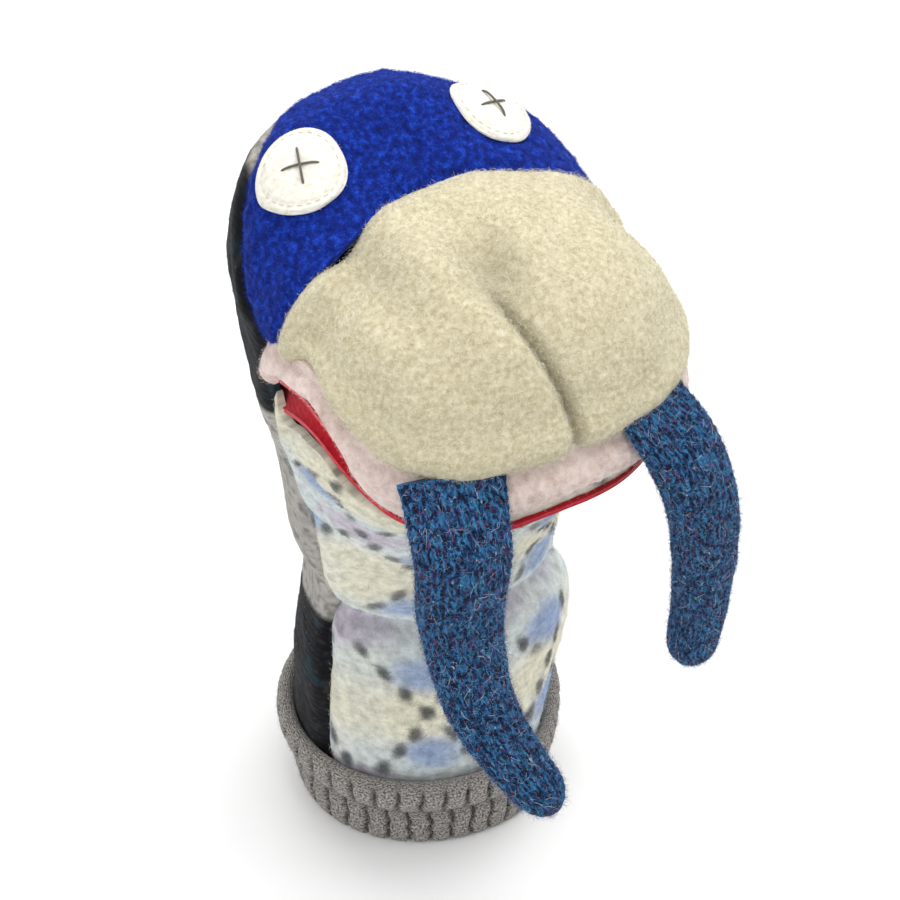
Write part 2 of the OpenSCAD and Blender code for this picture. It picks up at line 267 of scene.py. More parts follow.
def dome_reach(a):
    return reach(a, half_head, snout - head_middle, nape_back + head_middle, snout_round, 2.5)


def on_dome(x, forward):
    """The point of the dome above a place in plan."""
    ahead = forward - head_middle
    a = np.degrees(np.arctan2(x, ahead))
    share = np.clip(np.hypot(x, ahead) / dome_reach(a), 0, 1)
    power = mix(4.4, 3.6, ease(np.cos(np.radians(a)) * 0.75 + 0.5))
    base = mix(rim + 18, rim, (forward + nape_back) / (snout + nape_back)) + cheek_lift(x, forward)
    top = mix(muzzle_top, crown, ease((8 - forward) / 38))
    # the brow and the crown slope down towards the puppet's own left
    top = top - 7 * ease((x - 6) / 40) * ease((24 - forward) / 26)
    top = top - 5 * ease((6 - forward) / 36) * ease((x - 2) / 24)
    return at(x, forward, base + (top - base) * np.sqrt(1 - share**power))


def dome(a, share):
    far = share * dome_reach(a)
    return on_dome(far * np.sin(np.radians(a)), head_middle + far * np.cos(np.radians(a)))


def crown_line(a):
    """Where the crown seam runs, as a share of the way from the dome's middle to its rim."""
    return mix(1.0, 0.87, ease(-np.cos(np.radians(a)) * 1.8 - 0.35)) - 0.04 * hump(a - 222, 22)


CHEEK = 82     # angle at which the brow seam meets the rim on the puppet's right


def brow_line(u):
    """Where the brow seam runs in plan, u from 0 at the puppet's right to 1 at its left."""
    x = (half_head - 0.3) * np.sin(np.radians(mix(-90, 90, u)))
    return x, 3 + 4 * (x / half_head) ** 2 + 7 * hump(x + 40, 18)


# %% [markdown]
# ## Tools for cloth
# A panel is a grid of points laid over the shape, so its relief can follow the cloth: seams dip,
# padding swells and felt lies in small lumps. A flat cut, in millimetres, is kept with each point
# as a UV map, because a pattern that is knitted in has to bend with the cloth. A simulation would
# crease these thick, firm pieces at random, so their folds are put in one by one where they belong.

# %% Smooth noise
TABLE = np.random.default_rng(7).uniform(-1, 1, 8192)


def lumps(points, size, seed=0):
    """Smooth noise between -1 and 1, with lumps of that size in millimetres."""
    place = points / size + seed * 13.7
    whole = np.floor(place).astype(np.int64)
    part = ease(place - whole)
    total = np.zeros(points.shape[:-1])
    for corner in itertools.product((0, 1), repeat=3):
        share = np.prod(np.where(corner, part, 1 - part), axis=-1)
        mixed = (whole + corner) * np.array([73856093, 19349663, 83492791])
        total += share * TABLE[np.bitwise_xor.reduce(mixed, axis=-1) % len(TABLE)]
    return total


# %% Lay a panel over the shape
def lay_out(surface, across, up):
    """Points of a panel, evenly spaced up each of its columns."""
    u, v = np.meshgrid(np.linspace(0, 1, across), np.linspace(0, 1, up * 8), indexing="ij")
    fine = surface(u, v)
    steps = np.linalg.norm(np.diff(fine, axis=1), axis=2)
    run = np.concatenate([np.zeros((across, 1)), np.cumsum(steps, axis=1)], axis=1)
    laid = np.empty((across, up, 3))
    for i in range(across):
        even = np.linspace(0, run[i, -1], up)
        for k in range(3):
            laid[i, :, k] = np.interp(even, run[i], fine[i, :, k])
    return laid


def flat_cut(points):
    """Where each point lies on the flat cloth: across from its middle, and up from its foot."""
    def run(axis):
        steps = np.linalg.norm(np.diff(points, axis=axis), axis=2)
        start = np.zeros_like(points[:1, :, 0] if axis == 0 else points[:, :1, 0])
        return np.concatenate([start, np.cumsum(steps, axis=axis)], axis=axis)
    across, up = run(0), run(1)
    return np.stack([across - across[len(across) // 2], up], axis=-1)


def facing(points):
    """The direction that each point of a panel faces, away from the middle of the puppet."""
    n = np.cross(np.gradient(points, axis=0), np.gradient(points, axis=1))
    n /= np.maximum(np.linalg.norm(n, axis=-1, keepdims=True), 1e-9)
    n[:2], n[-2:] = n[2], n[-3]     # the columns at a pointed end are too short to trust
    half = len(n) // 2              # where columns cross there, the direction is turned back
    from_middle = [(k, 1) for k in range(half, len(n) - 1)] + [(k, -1) for k in range(half, 0, -1)]
    for k, step in from_middle:
        turned = (n[k + step] * n[k]).sum(-1, keepdims=True) < -0.5
        n[k + step] = np.where(turned, -n[k + step], n[k + step])
    inside = at(0, 8, np.clip(points[..., 2], 0, rim))
    return n * np.sign(np.median((n * (points - inside)).sum(-1)))


def from_edges(points):
    """Distances of each point from the panel's foot, top, first side and last side."""
    cut = flat_cut(points)
    up, across = cut[..., 1], cut[..., 0]
    return up, up[:, -1:] - up, across - across[:1], across[-1:] - across


SEAM_DIP = 2.2      # how wide the dip is at a sewn edge


def seam_dip(distances, depth):
    """How far cloth is pulled in at its sewn edges, with a soft swell beside the stitches."""
    pull = [
        0.35 * depth * hump(d - 3 * SEAM_DIP, 2 * SEAM_DIP) - depth * hump(d, SEAM_DIP)
        for d in distances
    ]
    return np.clip(sum(pull), -depth, 0.5 * depth)


# %% Make meshes
def quads(across, up, start=0, wrap_across=False, wrap_up=False):
    """Faces of a grid whose points are numbered column by column."""
    i, j = np.meshgrid(np.arange(across - (not wrap_across)), np.arange(up - (not wrap_up)),
                       indexing="ij")
    i2, j2 = (i + 1) % across, (j + 1) % up
    faces = [i * up + j, i2 * up + j, i2 * up + j2, i * up + j2]
    return start + np.stack(faces, axis=-1).reshape(-1, 4)


def make_piece(name, points, faces, materials, cut=None, shade=None, slots=None):
    """A mesh object from points in millimetres, with its flat cut and its colours if it has them."""
    mesh = bpy.data.meshes.new(name)
    mesh.vertices.add(len(points))
    mesh.vertices.foreach_set("co", (points * MM).astype(np.float32).ravel())
    mesh.loops.add(faces.size)
    mesh.loops.foreach_set("vertex_index", faces.astype(np.int32).ravel())
    mesh.polygons.add(len(faces))
    mesh.polygons.foreach_set("loop_start", np.arange(len(faces)) * faces.shape[1])
    mesh.update(calc_edges=True)
    for material in materials:
        mesh.materials.append(material)
    if slots is not None:
        mesh.polygons.foreach_set("material_index", slots.astype(np.int32))
    if cut is not None:
        layer = mesh.uv_layers.new(name="cut")
        layer.data.foreach_set("uv", (cut * MM).astype(np.float32)[faces.ravel()].ravel())
    if shade is not None:
        colours = mesh.color_attributes.new("shade", "FLOAT_COLOR", "POINT")
        rgba = np.concatenate([shade, np.ones((len(shade), 1))], axis=1)
        colours.data.foreach_set("color", rgba.astype(np.float32).ravel())
    mesh.polygons.foreach_set("use_smooth", np.ones(len(faces), bool))
    mesh.set_sharp_from_angle(angle=math.radians(70))
    made = bpy.data.objects.new(name, mesh)
    scene.collection.objects.link(made)
    return made


def outward(points, faces):
    """The faces of a closed mesh, turned over if they look inward."""
    a, b, c = (points[faces[:, k]] for k in (0, 1, 2))
    d = points[faces[:, -1]]
    volume = (a * np.cross(b, c)).sum() + (a * np.cross(c, d)).sum()
    return faces if volume > 0 else faces[:, ::-1]


def wool_shell(name, outer, inner, material, shade=None, cut=None):
    """A closed piece of cloth between two grids of points."""
    across, up = outer.shape[:2]
    points = np.concatenate([outer.reshape(-1, 3), inner.reshape(-1, 3)])
    count = across * up
    index = np.arange(count).reshape(across, up)
    rim_run = np.concatenate([index[:-1, 0], index[-1, :-1], index[:0:-1, -1], index[0, :0:-1]])
    after = np.roll(rim_run, -1)
    walls = np.stack([rim_run, rim_run + count, after + count, after], axis=-1)
    faces = np.concatenate([quads(across, up), quads(across, up, count)[:, ::-1], walls])
    cut = flat_cut(outer) if cut is None else cut
    both = np.concatenate([cut.reshape(-1, 2)] * 2)
    tint = None if shade is None else np.concatenate([shade.reshape(-1, 3)] * 2)
    return make_piece(name, points, outward(points, faces), [material], both, tint)


def cut_size(points):
    """The flat cloth of a panel: its widest, its longest and its area, in metres."""
    du, dv = np.diff(points, axis=0)[:, :-1], np.diff(points, axis=1)[:-1]
    area = np.linalg.norm(np.cross(du, dv), axis=-1).sum()
    cut = flat_cut(points)
    width = np.ptp(cut[..., 0], axis=0).max()
    length = np.ptp(cut[..., 1], axis=1).max()
    return (width * MM, length * MM), area * MM * MM


def laid(made, nap, base, least=0.0):
    flat, area = cut_size(base)
    print(f"{made.name}: {flat[0] * 1000:.0f} x {flat[1] * 1000:.0f} mm flat")


# %% [markdown]
# ## Loose fibres
# Felted wool is seen by its haze: ends of fibres stand off the cloth and catch the light along
# its outline. Blender's hair would make them too, but a hair is not a mesh and would be lost when
# the model is used elsewhere. So each fibre is a closed three-sided spike, bent once or twice,
# and they are drawn thicker and fewer than real so that they show.

# %% Loose fibres
def fibres(name, grid, count, length, shades, pick=None, thick=0.05, lift=0.5, curl=0.5, seed=1):
    """Short wool fibres that stand off a panel, as fine closed spikes bent once or twice."""
    rng = np.random.default_rng(seed)
    n = facing(grid)
    du, dv = np.diff(grid, axis=0)[:, :-1], np.diff(grid, axis=1)[:-1]
    area = np.linalg.norm(np.cross(du, dv), axis=-1)
    cell = rng.choice(area.size, count, p=area.ravel() / area.sum())
    i, j = np.divmod(cell, area.shape[1])
    s, t = rng.random((2, count, 1))

    def between(values):
        low = mix(values[i, j], values[i + 1, j], s)
        return mix(low, mix(values[i, j + 1], values[i + 1, j + 1], s), t)

    root, up = between(grid), between(n)
    side = rng.normal(size=(count, 3))
    side -= (side * up).sum(-1, keepdims=True) * up
    side /= np.linalg.norm(side, axis=-1, keepdims=True)
    swing = np.cross(up, side)
    tall = length * rng.uniform(0.35, 1.25, (count, 1))
    rise = lift * rng.uniform(0.2, 1.6, (count, 1))
    bend = curl * rng.uniform(-1, 1, (count, 1))
    knee = root + tall * (0.45 * side + 0.5 * rise * up + 0.25 * bend * swing)
    tip = knee + tall * (0.45 * side + (0.25 * rise - 0.1) * up - 0.35 * bend * swing)
    turns = np.radians([90, 210, 330])
    thin = thick * rng.uniform(0.7, 1.2, (count, 1))
    rings = []
    for place, width in ((root - 0.4 * up, thin), (knee, thin * 0.8)):
        for turn in turns:
            rings.append(place + width * (math.cos(turn) * swing + math.sin(turn) * up))
    points = np.stack(rings + [tip], axis=1).reshape(-1, 3)
    spike = np.array([(0, 2, 1)] + [
        f for k in range(3) for f in ((k, (k + 1) % 3, 3 + k), ((k + 1) % 3, 3 + (k + 1) % 3, 3 + k))
    ] + [(3 + k, 3 + (k + 1) % 3, 6) for k in range(3)])
    faces = (spike[None] + 7 * np.arange(count)[:, None, None]).reshape(-1, 3)
    tone = rng.integers(len(shades), size=count) if pick is None else pick[i, j]
    if pick is not None:
        stray = rng.random(count) < 0.05
        tone = np.where(stray, rng.integers(len(shades), size=count), tone)
    return make_piece(name, points, faces, shades, slots=np.repeat(tone, len(spike)))


def fibre_wool(name, code):
    """One loose woollen fibre: pale, hazy at its edges, never shiny."""
    material, tree = new_material(name)
    surface = add(tree, "BsdfPrincipled", {
        "Base Color": paint(code), "Roughness": 0.85, "Specular IOR Level": 0.1,
        "Sheen Weight": 0.08, "Sheen Roughness": 0.5})
    add(tree, "OutputMaterial", {"Surface": surface.outputs[0]})
    return material


print("tools ready; noise table of", len(TABLE))

# %% [markdown]
# ## The cuff
# Rib knitting, two stitches raised and one sunk, turned up once so that it is double. Its fold
# leaves a groove between a narrow lower band and a fuller upper one. The ribs are real relief
# here, about 8 mm apart, because they show at the outline; the yarn's twist is in the material,
# drawn a little coarser than real so that it shows. Shade is painted into its colour as well,
# darker in the sunk ribs and in the groove of the fold.

# %% Rib-knit wool
def rib_knit_wool():
    """Grey machine-knit lambswool: matt, heathered, its rows of stitches just visible."""
    material, tree = new_material("grey_rib_knit_lambswool")
    cut = add(tree, "UVMap", uv_map="cut")
    mm = add(tree, "VectorMath", {0: cut.outputs[0], "Scale": 1000.0}, operation="SCALE")
    heather = add(tree, "TexNoise", {"Vector": mm.outputs[0], "Scale": 1 / 0.8, "Detail": 4.0})
    rows = add(tree, "TexWave", {
        "Vector": mm.outputs[0], "Scale": 0.31 / 1.3, "Distortion": 3.0, "Detail": 2.0,
        "Detail Scale": 1.5}, bands_direction="Y")
    ramp = add(tree, "ValToRGB", {"Fac": heather.outputs[0]})
    ramp.color_ramp.elements[0].position = 0.36
    ramp.color_ramp.elements[0].color = paint("#3d3b38")
    ramp.color_ramp.elements[1].position = 0.64
    ramp.color_ramp.elements[1].color = paint("#b5b0aa")
    # painted shade, carried in the cuff's colours: darker in the sunk ribs and the fold's groove
    painted_shade = add(tree, "VertexColor", layer_name="shade")
    tone = add(tree, "Mix", {0: 1.0, 6: ramp.outputs[0], 7: painted_shade.outputs[0]},
               data_type="RGBA", blend_type="MULTIPLY")
    relief = add(tree, "Math", {0: rows.outputs[1], 1: heather.outputs[0]}, operation="ADD")
    bump = add(tree, "Bump", {"Height": relief.outputs[0], "Distance": 0.0003, "Strength": 0.8})
    surface = add(tree, "BsdfPrincipled", {
        "Base Color": tone.outputs[2], "Normal": bump.outputs[0], "Roughness": 0.9,
        "Specular IOR Level": 0.2, "Sheen Weight": 0.12, "Sheen Roughness": 0.5})
    add(tree, "OutputMaterial", {"Surface": surface.outputs[0]})
    return material


# %% Turn up the cuff
RIB = 8.0
PROFILE = np.array([  # out from the sleeve and height, once round the doubled band
    (2.2, 0), (3.6, 1.5), (4.6, 7), (4.6, 13), (3.8, 16.6), (3.6, 18.2), (5.2, 20), (6.8, 25),
    (6.6, 30), (5, 33), (2.6, 33.4), (0.9, 31.5), (0.5, 27), (0.4, 16), (0.5, 5), (1, 0.8),
])


def turned_cuff():
    ribs = round(2 * math.pi * (half_sleeve + 5) / RIB)
    a = np.linspace(0, 360, ribs * 20, endpoint=False)[:, None]
    loop = np.concatenate([PROFILE[-1:], PROFILE, PROFILE[:2]])
    t = np.linspace(1, len(PROFILE) + 1, 84, endpoint=False)[None, :]
    out, z = np.moveaxis(along(loop, t), -1, 0)
    z = np.clip(z, 0, cuff_top + 0.5)
    upper = ease((z - 17.3) / 2)
    phase = a / 360 * ribs + 0.35 * upper + 0.12 * lumps(at(a / 9, 0, z), 3.0)
    calm = (1 - 0.75 * hump(z - 18.2, 2.0)) * (1 - 0.8 * ease((z - 29) / 4))
    sunk = hump((phase % 1) - 0.5, 0.1) * calm
    outside = ease((out - 1.0) / 2)
    stitch = 0.05 * np.cos(2 * math.pi * (z / 1.5 + 0.5 * np.abs(((phase % 1) - 0.5) * 2)))
    points = skin(a, z / cuff_top * CUFF, out - (1.7 * sunk - stitch * (1 - sunk)) * outside)
    points[..., 2] = z
    wander = 0.7 * lumps(points, 26, 3) * ease((z - 14) / 10)
    points += at(np.sin(np.radians(a)), np.cos(np.radians(a)), 0 * a) * wander[..., None]
    # painted shade: darker in the sunk ribs and in the groove of the fold
    painted_shade = 1 - 0.75 * sunk * outside - 0.35 * hump(z - 18.2, 1.2) * outside
    cut = np.stack(np.broadcast_arrays(a / 360 * ribs * RIB, t * 4.6), axis=-1)
    faces = quads(*points.shape[:2], wrap_across=True, wrap_up=True)
    flat = points.reshape(-1, 3)
    made = make_piece("ribbed_cuff", flat, outward(flat, faces), [rib_knit_wool()],
                      cut.reshape(-1, 2), np.repeat(painted_shade.reshape(-1, 1), 3, axis=1))
    return made, points


cuff, cuff_grid = turned_cuff()
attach(cuff, "sleeve")
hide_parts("cuff")
cuff_fuzz = fibres("ribbed_cuff_nap", cuff_grid[:, 2:50], 9000, 2.0,
                   [fibre_wool("nap_grey", "#8d8985"), fibre_wool("nap_pale_grey", "#b9b5b0")],
                   lift=0.45, thick=0.035, seed=11)
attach(cuff_fuzz, "sleeve")

# %% [markdown]
# ## The front panel
# One length of patterned knitting, from the cuff to the lower lip, felted until its stitches
# closed up. Its pattern was knitted in: diamonds outlined in dark dots, with mid-blue and lavender
# spots on a cream and pale-blue ground. It is drawn here from that rule on the flat cloth, then
# softened, because felting blurs every edge. The panel bends at the neck and again at the jaw, and
# a piece can bend at one joint only, so the same cloth is made as a lower and an upper half.

# %% [markdown]
# ## Felted wool
# Washed wool has no gloss: its scales have locked into a mat that scatters the light, a little
# paler where the surface turns away. Its IOR is that of keratin, near the default, and most of
# its highlight is hidden by the fibres, so specular is low and roughness is 0.9. Its colour is
# mottled, because dyed fibres felt unevenly, and its stitches, about 2 mm apart, show only as a
# faint ripple. One material serves for all the panels, with three colours or with the panel's own.

# %% Felted wool
def felted_wool(name, codes=None, fleck=0.45, row=2.2, lump=3.2, depth=0.00045, sheen=0.25,
                shaded=False):
    """Washed and felted knitting: matt and hazy, with its rows of stitches half hidden."""
    material, tree = new_material(name)
    if codes:
        place = add(tree, "TexCoord").outputs["Object"]
    else:
        place = add(tree, "UVMap", uv_map="cut").outputs[0]
    mm = add(tree, "VectorMath", {0: place, "Scale": 1000.0}, operation="SCALE")
    lumpy = add(tree, "TexNoise", {"Vector": mm.outputs[0], "Scale": 1 / lump, "Detail": 3.0})
    hairs = add(tree, "TexNoise", {
        "Vector": mm.outputs[0], "Scale": 1 / fleck, "Detail": 3.0, "Distortion": 1.5})
    rows = add(tree, "TexWave", {
        "Vector": mm.outputs[0], "Scale": 0.31 / row, "Distortion": 5.0, "Detail": 2.0,
        "Detail Scale": 1.0}, bands_direction="Z" if codes else "Y")
    blotch = add(tree, "Mix", {0: 0.4, 2: lumpy.outputs[0], 3: hairs.outputs[0]}, data_type="FLOAT")
    if codes:
        ramp = add(tree, "ValToRGB", {"Fac": blotch.outputs[0]})
        ramp.color_ramp.elements[0].position = 0.32
        ramp.color_ramp.elements[0].color = paint(codes[0])
        ramp.color_ramp.elements[1].position = 0.68
        ramp.color_ramp.elements[1].color = paint(codes[2])
        ramp.color_ramp.elements.new(0.5).color = paint(codes[1])
        tone = ramp.outputs[0]
        if shaded:
            # painted shade: the shade colours darken the cloth in its folds and hollows
            painted_shade_node = add(tree, "VertexColor", layer_name="shade")
            tone = add(tree, "Mix", {0: 1.0, 6: tone, 7: painted_shade_node.outputs[0]},
                       data_type="RGBA", blend_type="MULTIPLY").outputs[2]
    else:
        yarn = add(tree, "VertexColor", layer_name="shade")
        ramp = add(tree, "ValToRGB", {"Fac": blotch.outputs[0]})
        ramp.color_ramp.elements[0].position = 0.3
        ramp.color_ramp.elements[0].color = paint("#bcbcbc")
        ramp.color_ramp.elements[1].position = 0.62
        tone = add(tree, "Mix", {0: 1.0, 6: yarn.outputs[0], 7: ramp.outputs[0]},
                   data_type="RGBA", blend_type="MULTIPLY").outputs[2]
    relief = add(tree, "Mix", {0: 0.2, 2: blotch.outputs[0], 3: rows.outputs[1]}, data_type="FLOAT")
    bump = add(tree, "Bump", {"Height": relief.outputs[0], "Distance": depth, "Strength": 1.0})
    surface = add(tree, "BsdfPrincipled", {
        "Base Color": tone, "Normal": bump.outputs[0], "Roughness": 0.9,
        "Specular IOR Level": 0.15, "Sheen Weight": sheen, "Sheen Roughness": 0.5})
    add(tree, "OutputMaterial", {"Surface": surface.outputs[0]})
    return material


# %% The knitted-in pattern
YARNS = ["#eae9e1", "#cfdee1", "#c5b6cb", "#7898cc", "#22262a", "#ebe6c6"]
CREAM, PALE_BLUE, LAVENDER, MID_BLUE, BLACK, PALE_YELLOW = range(len(YARNS))
DIAMOND = 46.0, 60.0      # width and height of one repeat of the pattern, in mm of cloth


def diamond_pattern(cut, fold):
    """How much of each yarn shows at each point of the cloth. fold is the neck's height on it."""
    cloth = np.concatenate([cut, 0 * cut[..., :1]], axis=-1)
    x = cut[..., 0] + 26 + 1.6 * lumps(cloth, 8, 5) + 0.6 * lumps(cloth, 2.5, 15)
    y = cut[..., 1] - fold + 1.6 * lumps(cloth, 8, 6) + 0.6 * lumps(cloth, 2.5, 16)
    wide, tall = DIAMOND
    p, q = x / wide, y / tall
    share = np.zeros(cut.shape[:-1] + (len(YARNS),))
    share[..., CREAM] = 1.0
    bands = np.cos(2 * math.pi * q)
    share[..., PALE_BLUE] = 1.3 * ease(0.55 * bands + 0.5 + 0.5 * lumps(cloth, 16, 7))
    share[..., PALE_YELLOW] = 1.2 * ease(0.35 - 0.5 * bands + 0.5 * lumps(cloth, 12, 8))

    def spot(dx, dy, width, height):
        return np.exp(-(((dx / width) ** 2 + (dy / height) ** 2) ** 1.5))

    near_p, near_q = (p + 0.5) % 1 - 0.5, (q + 0.5) % 1 - 0.5
    share[..., LAVENDER] = 4.5 * spot((np.abs(near_p) - 0.5) * wide, near_q * tall, 16, 5.5)
    for side in (-1, 1):
        share[..., MID_BLUE] += 5 * spot(near_p * wide, (near_q - side * 0.25) * tall, 8.5, 5.5)
    side_length = math.hypot(wide, tall) / 2
    apart = wide * tall / math.hypot(wide, tall)
    wear_and_stitch_shade = ease(0.75 + 1.1 * lumps(cloth, 9, 12))
    for line, run in ((p + q, p - q), (p - q, p + q)):
        off = line % 1 - 0.5
        step = (run * 4 + 0.5) % 1 - 0.5
        share[..., BLACK] += 13 * wear_and_stitch_shade * spot(off * apart, step * side_length / 4, 1.9, 2.6)
    return share / share.sum(-1, keepdims=True)


def mixed_yarns(share):
    """The colour of each point, from how much of each yarn shows there."""
    return share @ np.array([paint(code)[:3] for code in YARNS])


# %% Lay out the front panel
def side_seam(s):
    """Angle of the puppet's right side seam, which leans forward below the head."""
    return mix(77, 90, ease((s - 5.5) / 2))


def parting(a):
    """How far the lips part along the right cheek, as a share of the way round."""
    return 0.22 * ease((a + 90) / 16) * ease((-40 - a) / 20)


def upper_lip(a):
    """Ring of the upper lip's edge, which the roll pushes down beside the right tusk."""
    raised = 0.4 * ease((a + 92) / 14) * ease((-42 - a) / 14)
    return band_foot + 0.08 + raised - 0.16 * hump(a + 33, 16)


def lower_lip(a):
    """Ring of the lower lip's edge. It rises to meet the upper lip at the mouth's corners."""
    return LIP + parting(a) + (band_foot - LIP) * ease((np.abs(a) - 80) / 10)


FRONT_COLUMNS = 150


def front_half(s0, s1, rows, start=None):
    """The front of the skin from ring s0 to ring s1 or to the lower lip, and its flat cut."""
    def surface(u, v):
        a = mix(-90, 90, u)
        s = mix(s0, lower_lip(a) if s1 is None else s1, v)
        return skin(mix(-side_seam(s), 90, u), s)
    points = lay_out(surface, FRONT_COLUMNS, rows)
    cut = flat_cut(points)
    if start is not None:
        cut[..., 1] += start
    return points, cut


NECK_FOLD = 86      # height of the deep fold in front of the neck


def neck_crease(points):
    """The deep fold in front of the neck, lower at the puppet's left, and its bulges."""
    x, z = points[..., 0], points[..., 2]
    line = NECK_FOLD - 0.17 * x + 3 * np.sin(x / 13)
    swell = 2.4 * hump(z - line - 13, 9) + 1.6 * hump(z - line + 11, 8)
    return swell - 4.2 * hump(z - line, 3.4) - 1.6 * hump(z - line - 24 + 0.3 * x, 5)


def clothed(points, rows_open=(False, False), depth=1.5, swell=0.5, grain=0.25, seed=0):
    """Relief of a felted panel: soft lumps, and a dip at each sewn edge."""
    foot, top, left, right = from_edges(points)
    sewn = [left, right] + [d for d, is_open in zip((foot, top), rows_open) if not is_open]
    return (seam_dip(sewn, depth) + swell * lumps(points, 11, seed)
            + grain * lumps(points, 2.6, seed + 1))


lower_base, lower_cut = front_half(HEM, NAPE_TOP, 130)
upper_base, upper_cut = front_half(NAPE_TOP, None, 60, lower_cut[:, -1:, 1])
whole_base = np.concatenate([lower_base, upper_base[:, 1:]], axis=1)
whole_relief = clothed(whole_base, (True, True), seed=2) + neck_crease(whole_base)
whole_relief -= 1.2 * hump(from_edges(whole_base)[1], 1.6)
tucked_in = ease((-whole_base[..., 1] - 40) / 25)
whole_relief -= 3.2 * tucked_in * hump(from_edges(whole_base)[1], 9)
whole_face = facing(whole_base)
whole_cut = np.concatenate([lower_cut, upper_cut[:, 1:]], axis=1)
fold_height = np.median(whole_cut[..., 1][np.abs(whole_base[..., 2] - NECK_FOLD) < 1.5])
whole_yarns = diamond_pattern(whole_cut, fold_height)
whole_outer = whole_base + whole_face * whole_relief[..., None]
whole_inner = whole_base - whole_face * (wool - 0.5 * np.minimum(whole_relief, 0))[..., None]
patterned_wool = felted_wool("felted_patterned_wool", depth=0.0005)
print(f"front panel: fold at {fold_height:.0f} mm of {whole_cut[..., 1].max():.0f} mm of cloth")

# %% Make its two halves
FRONT_NAP = [fibre_wool(f"nap_front_{i}", code) for i, code in enumerate(YARNS)]


def front_piece(name, rows, fibre_count, seed):
    outer, inner = whole_outer[:, rows], whole_inner[:, rows]
    made = wool_shell(name, outer, inner, patterned_wool, mixed_yarns(whole_yarns[:, rows]),
                      whole_cut[:, rows])
    nap = fibres(name + "_nap", outer, fibre_count, 2.2, FRONT_NAP,
                 pick=whole_yarns[:, rows].argmax(-1), lift=0.5, thick=0.04, seed=seed)
    laid(made, nap, whole_base[:, rows])
    return made, nap


joined = lower_base.shape[1]
front_lower, front_lower_nap = front_piece("front_panel_lower", slice(0, joined), 15000, 21)
front_upper, front_upper_nap = front_piece("front_panel_upper", slice(joined - 1, None), 9000, 22)
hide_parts("sleeve_front")
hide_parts("throat", "chin")
for piece in (front_lower, front_lower_nap):
    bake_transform(piece)
for piece in (front_upper, front_upper_nap):
    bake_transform(piece)

# %% [markdown]
# ## The back panel
# The back is one length of colour-blocked knitting: near-black by the cuff, grey at the neck,
# near-black again beside the head, and a heathered light grey over the crown. Each change of
# colour follows a row of stitches, and it is drawn here at its height above the floor.

# %% Lay out the back panel
def back_surface(u, v):
    a = mix(90, 270, u)
    part = 0.88
    s = mix(HEM, RIM, np.clip(v / part, 0, 1))
    low = skin(mix(90, 360 - side_seam(s), u), s)
    high = dome(a, mix(1.0, crown_line(a), np.clip((v - part) / (1 - part), 0, 1)))
    return np.where((v < part)[..., None], low, high)


back_base = lay_out(back_surface, 130, 176)
back_face = facing(back_base)
back_relief = clothed(back_base, (True, False), seed=4)
back_relief -= 3.0 * hump(back_base[..., 2] - 96, 5) * ease(1.2 - np.abs(back_base[..., 0]) / 60)
back_relief += 1.2 * hump(back_base[..., 2] - 112, 9)
back_outer = back_base + back_face * back_relief[..., None]
back_inner = back_base - back_face * (wool - 0.5 * np.minimum(back_relief, 0))[..., None]
BLOCKS = [(0, "#0d0e14"), (84, "#b3b0aa"), (170, "#0e1116"), (236, "#b7b1a8")]  # height, colour


def block_colours(points):
    """The colour of each row of the back panel, with the dark flecks of the heathered grey."""
    wavy = points[..., 2] + 1.0 * lumps(points, 4, 8)
    made = np.zeros(points.shape)
    made[:] = paint(BLOCKS[0][1])[:3]
    for height, code in BLOCKS[1:]:
        made = mix(made, np.array(paint(code)[:3]), ease((wavy - height) / 2.4 + 0.5)[..., None])
    flecks = ease(lumps(points, 1.6, 9) * 2.2 - 0.5)[..., None]
    made = mix(made, np.array(paint("#3c3b3d")[:3]), 0.55 * flecks)
    teal = ease(lumps(points, 5, 10) * 1.6 - 0.3)[..., None] * (made.mean(-1, keepdims=True) < 0.05)
    return mix(made, np.array(paint("#1c3c47")[:3]), 0.6 * teal)


back_colours = block_colours(back_base)
blocked_wool = felted_wool("felted_colour_block_wool", depth=0.0004, sheen=0.06)
back_panel = wool_shell("back_panel", back_outer, back_inner, blocked_wool, back_colours)
BACK_NAP = [fibre_wool("nap_black", "#15171d"), fibre_wool("nap_heather", "#b3ada6")]
back_nap = fibres("back_panel_nap", back_outer, 16000, 1.8, BACK_NAP,
                  pick=(back_colours.mean(-1) > 0.15).astype(int), thick=0.035, seed=31)
for piece in (back_panel, back_nap):
    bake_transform(piece)
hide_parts("sleeve_back", "nape", "head_back")
laid(back_panel, back_nap, back_base)

# %% [markdown]
# ## Forehead and muzzle
# The forehead is royal-blue felt with a curly, lumpy face, cut as a crescent that ends in a point
# at each cheek. The muzzle is thick cream felt over stuffing. A dart is sewn down the middle of
# its steep front, and the cloth above it is pushed into two soft folds.

# %% Forehead
def forehead_surface(u, v):
    a = mix(90, 360 - CHEEK, u)
    start = dome(a, crown_line(a))
    x1, f1 = brow_line(1 - u)
    return on_dome(mix(start[..., 0], x1, v), mix(-start[..., 1], f1, v))


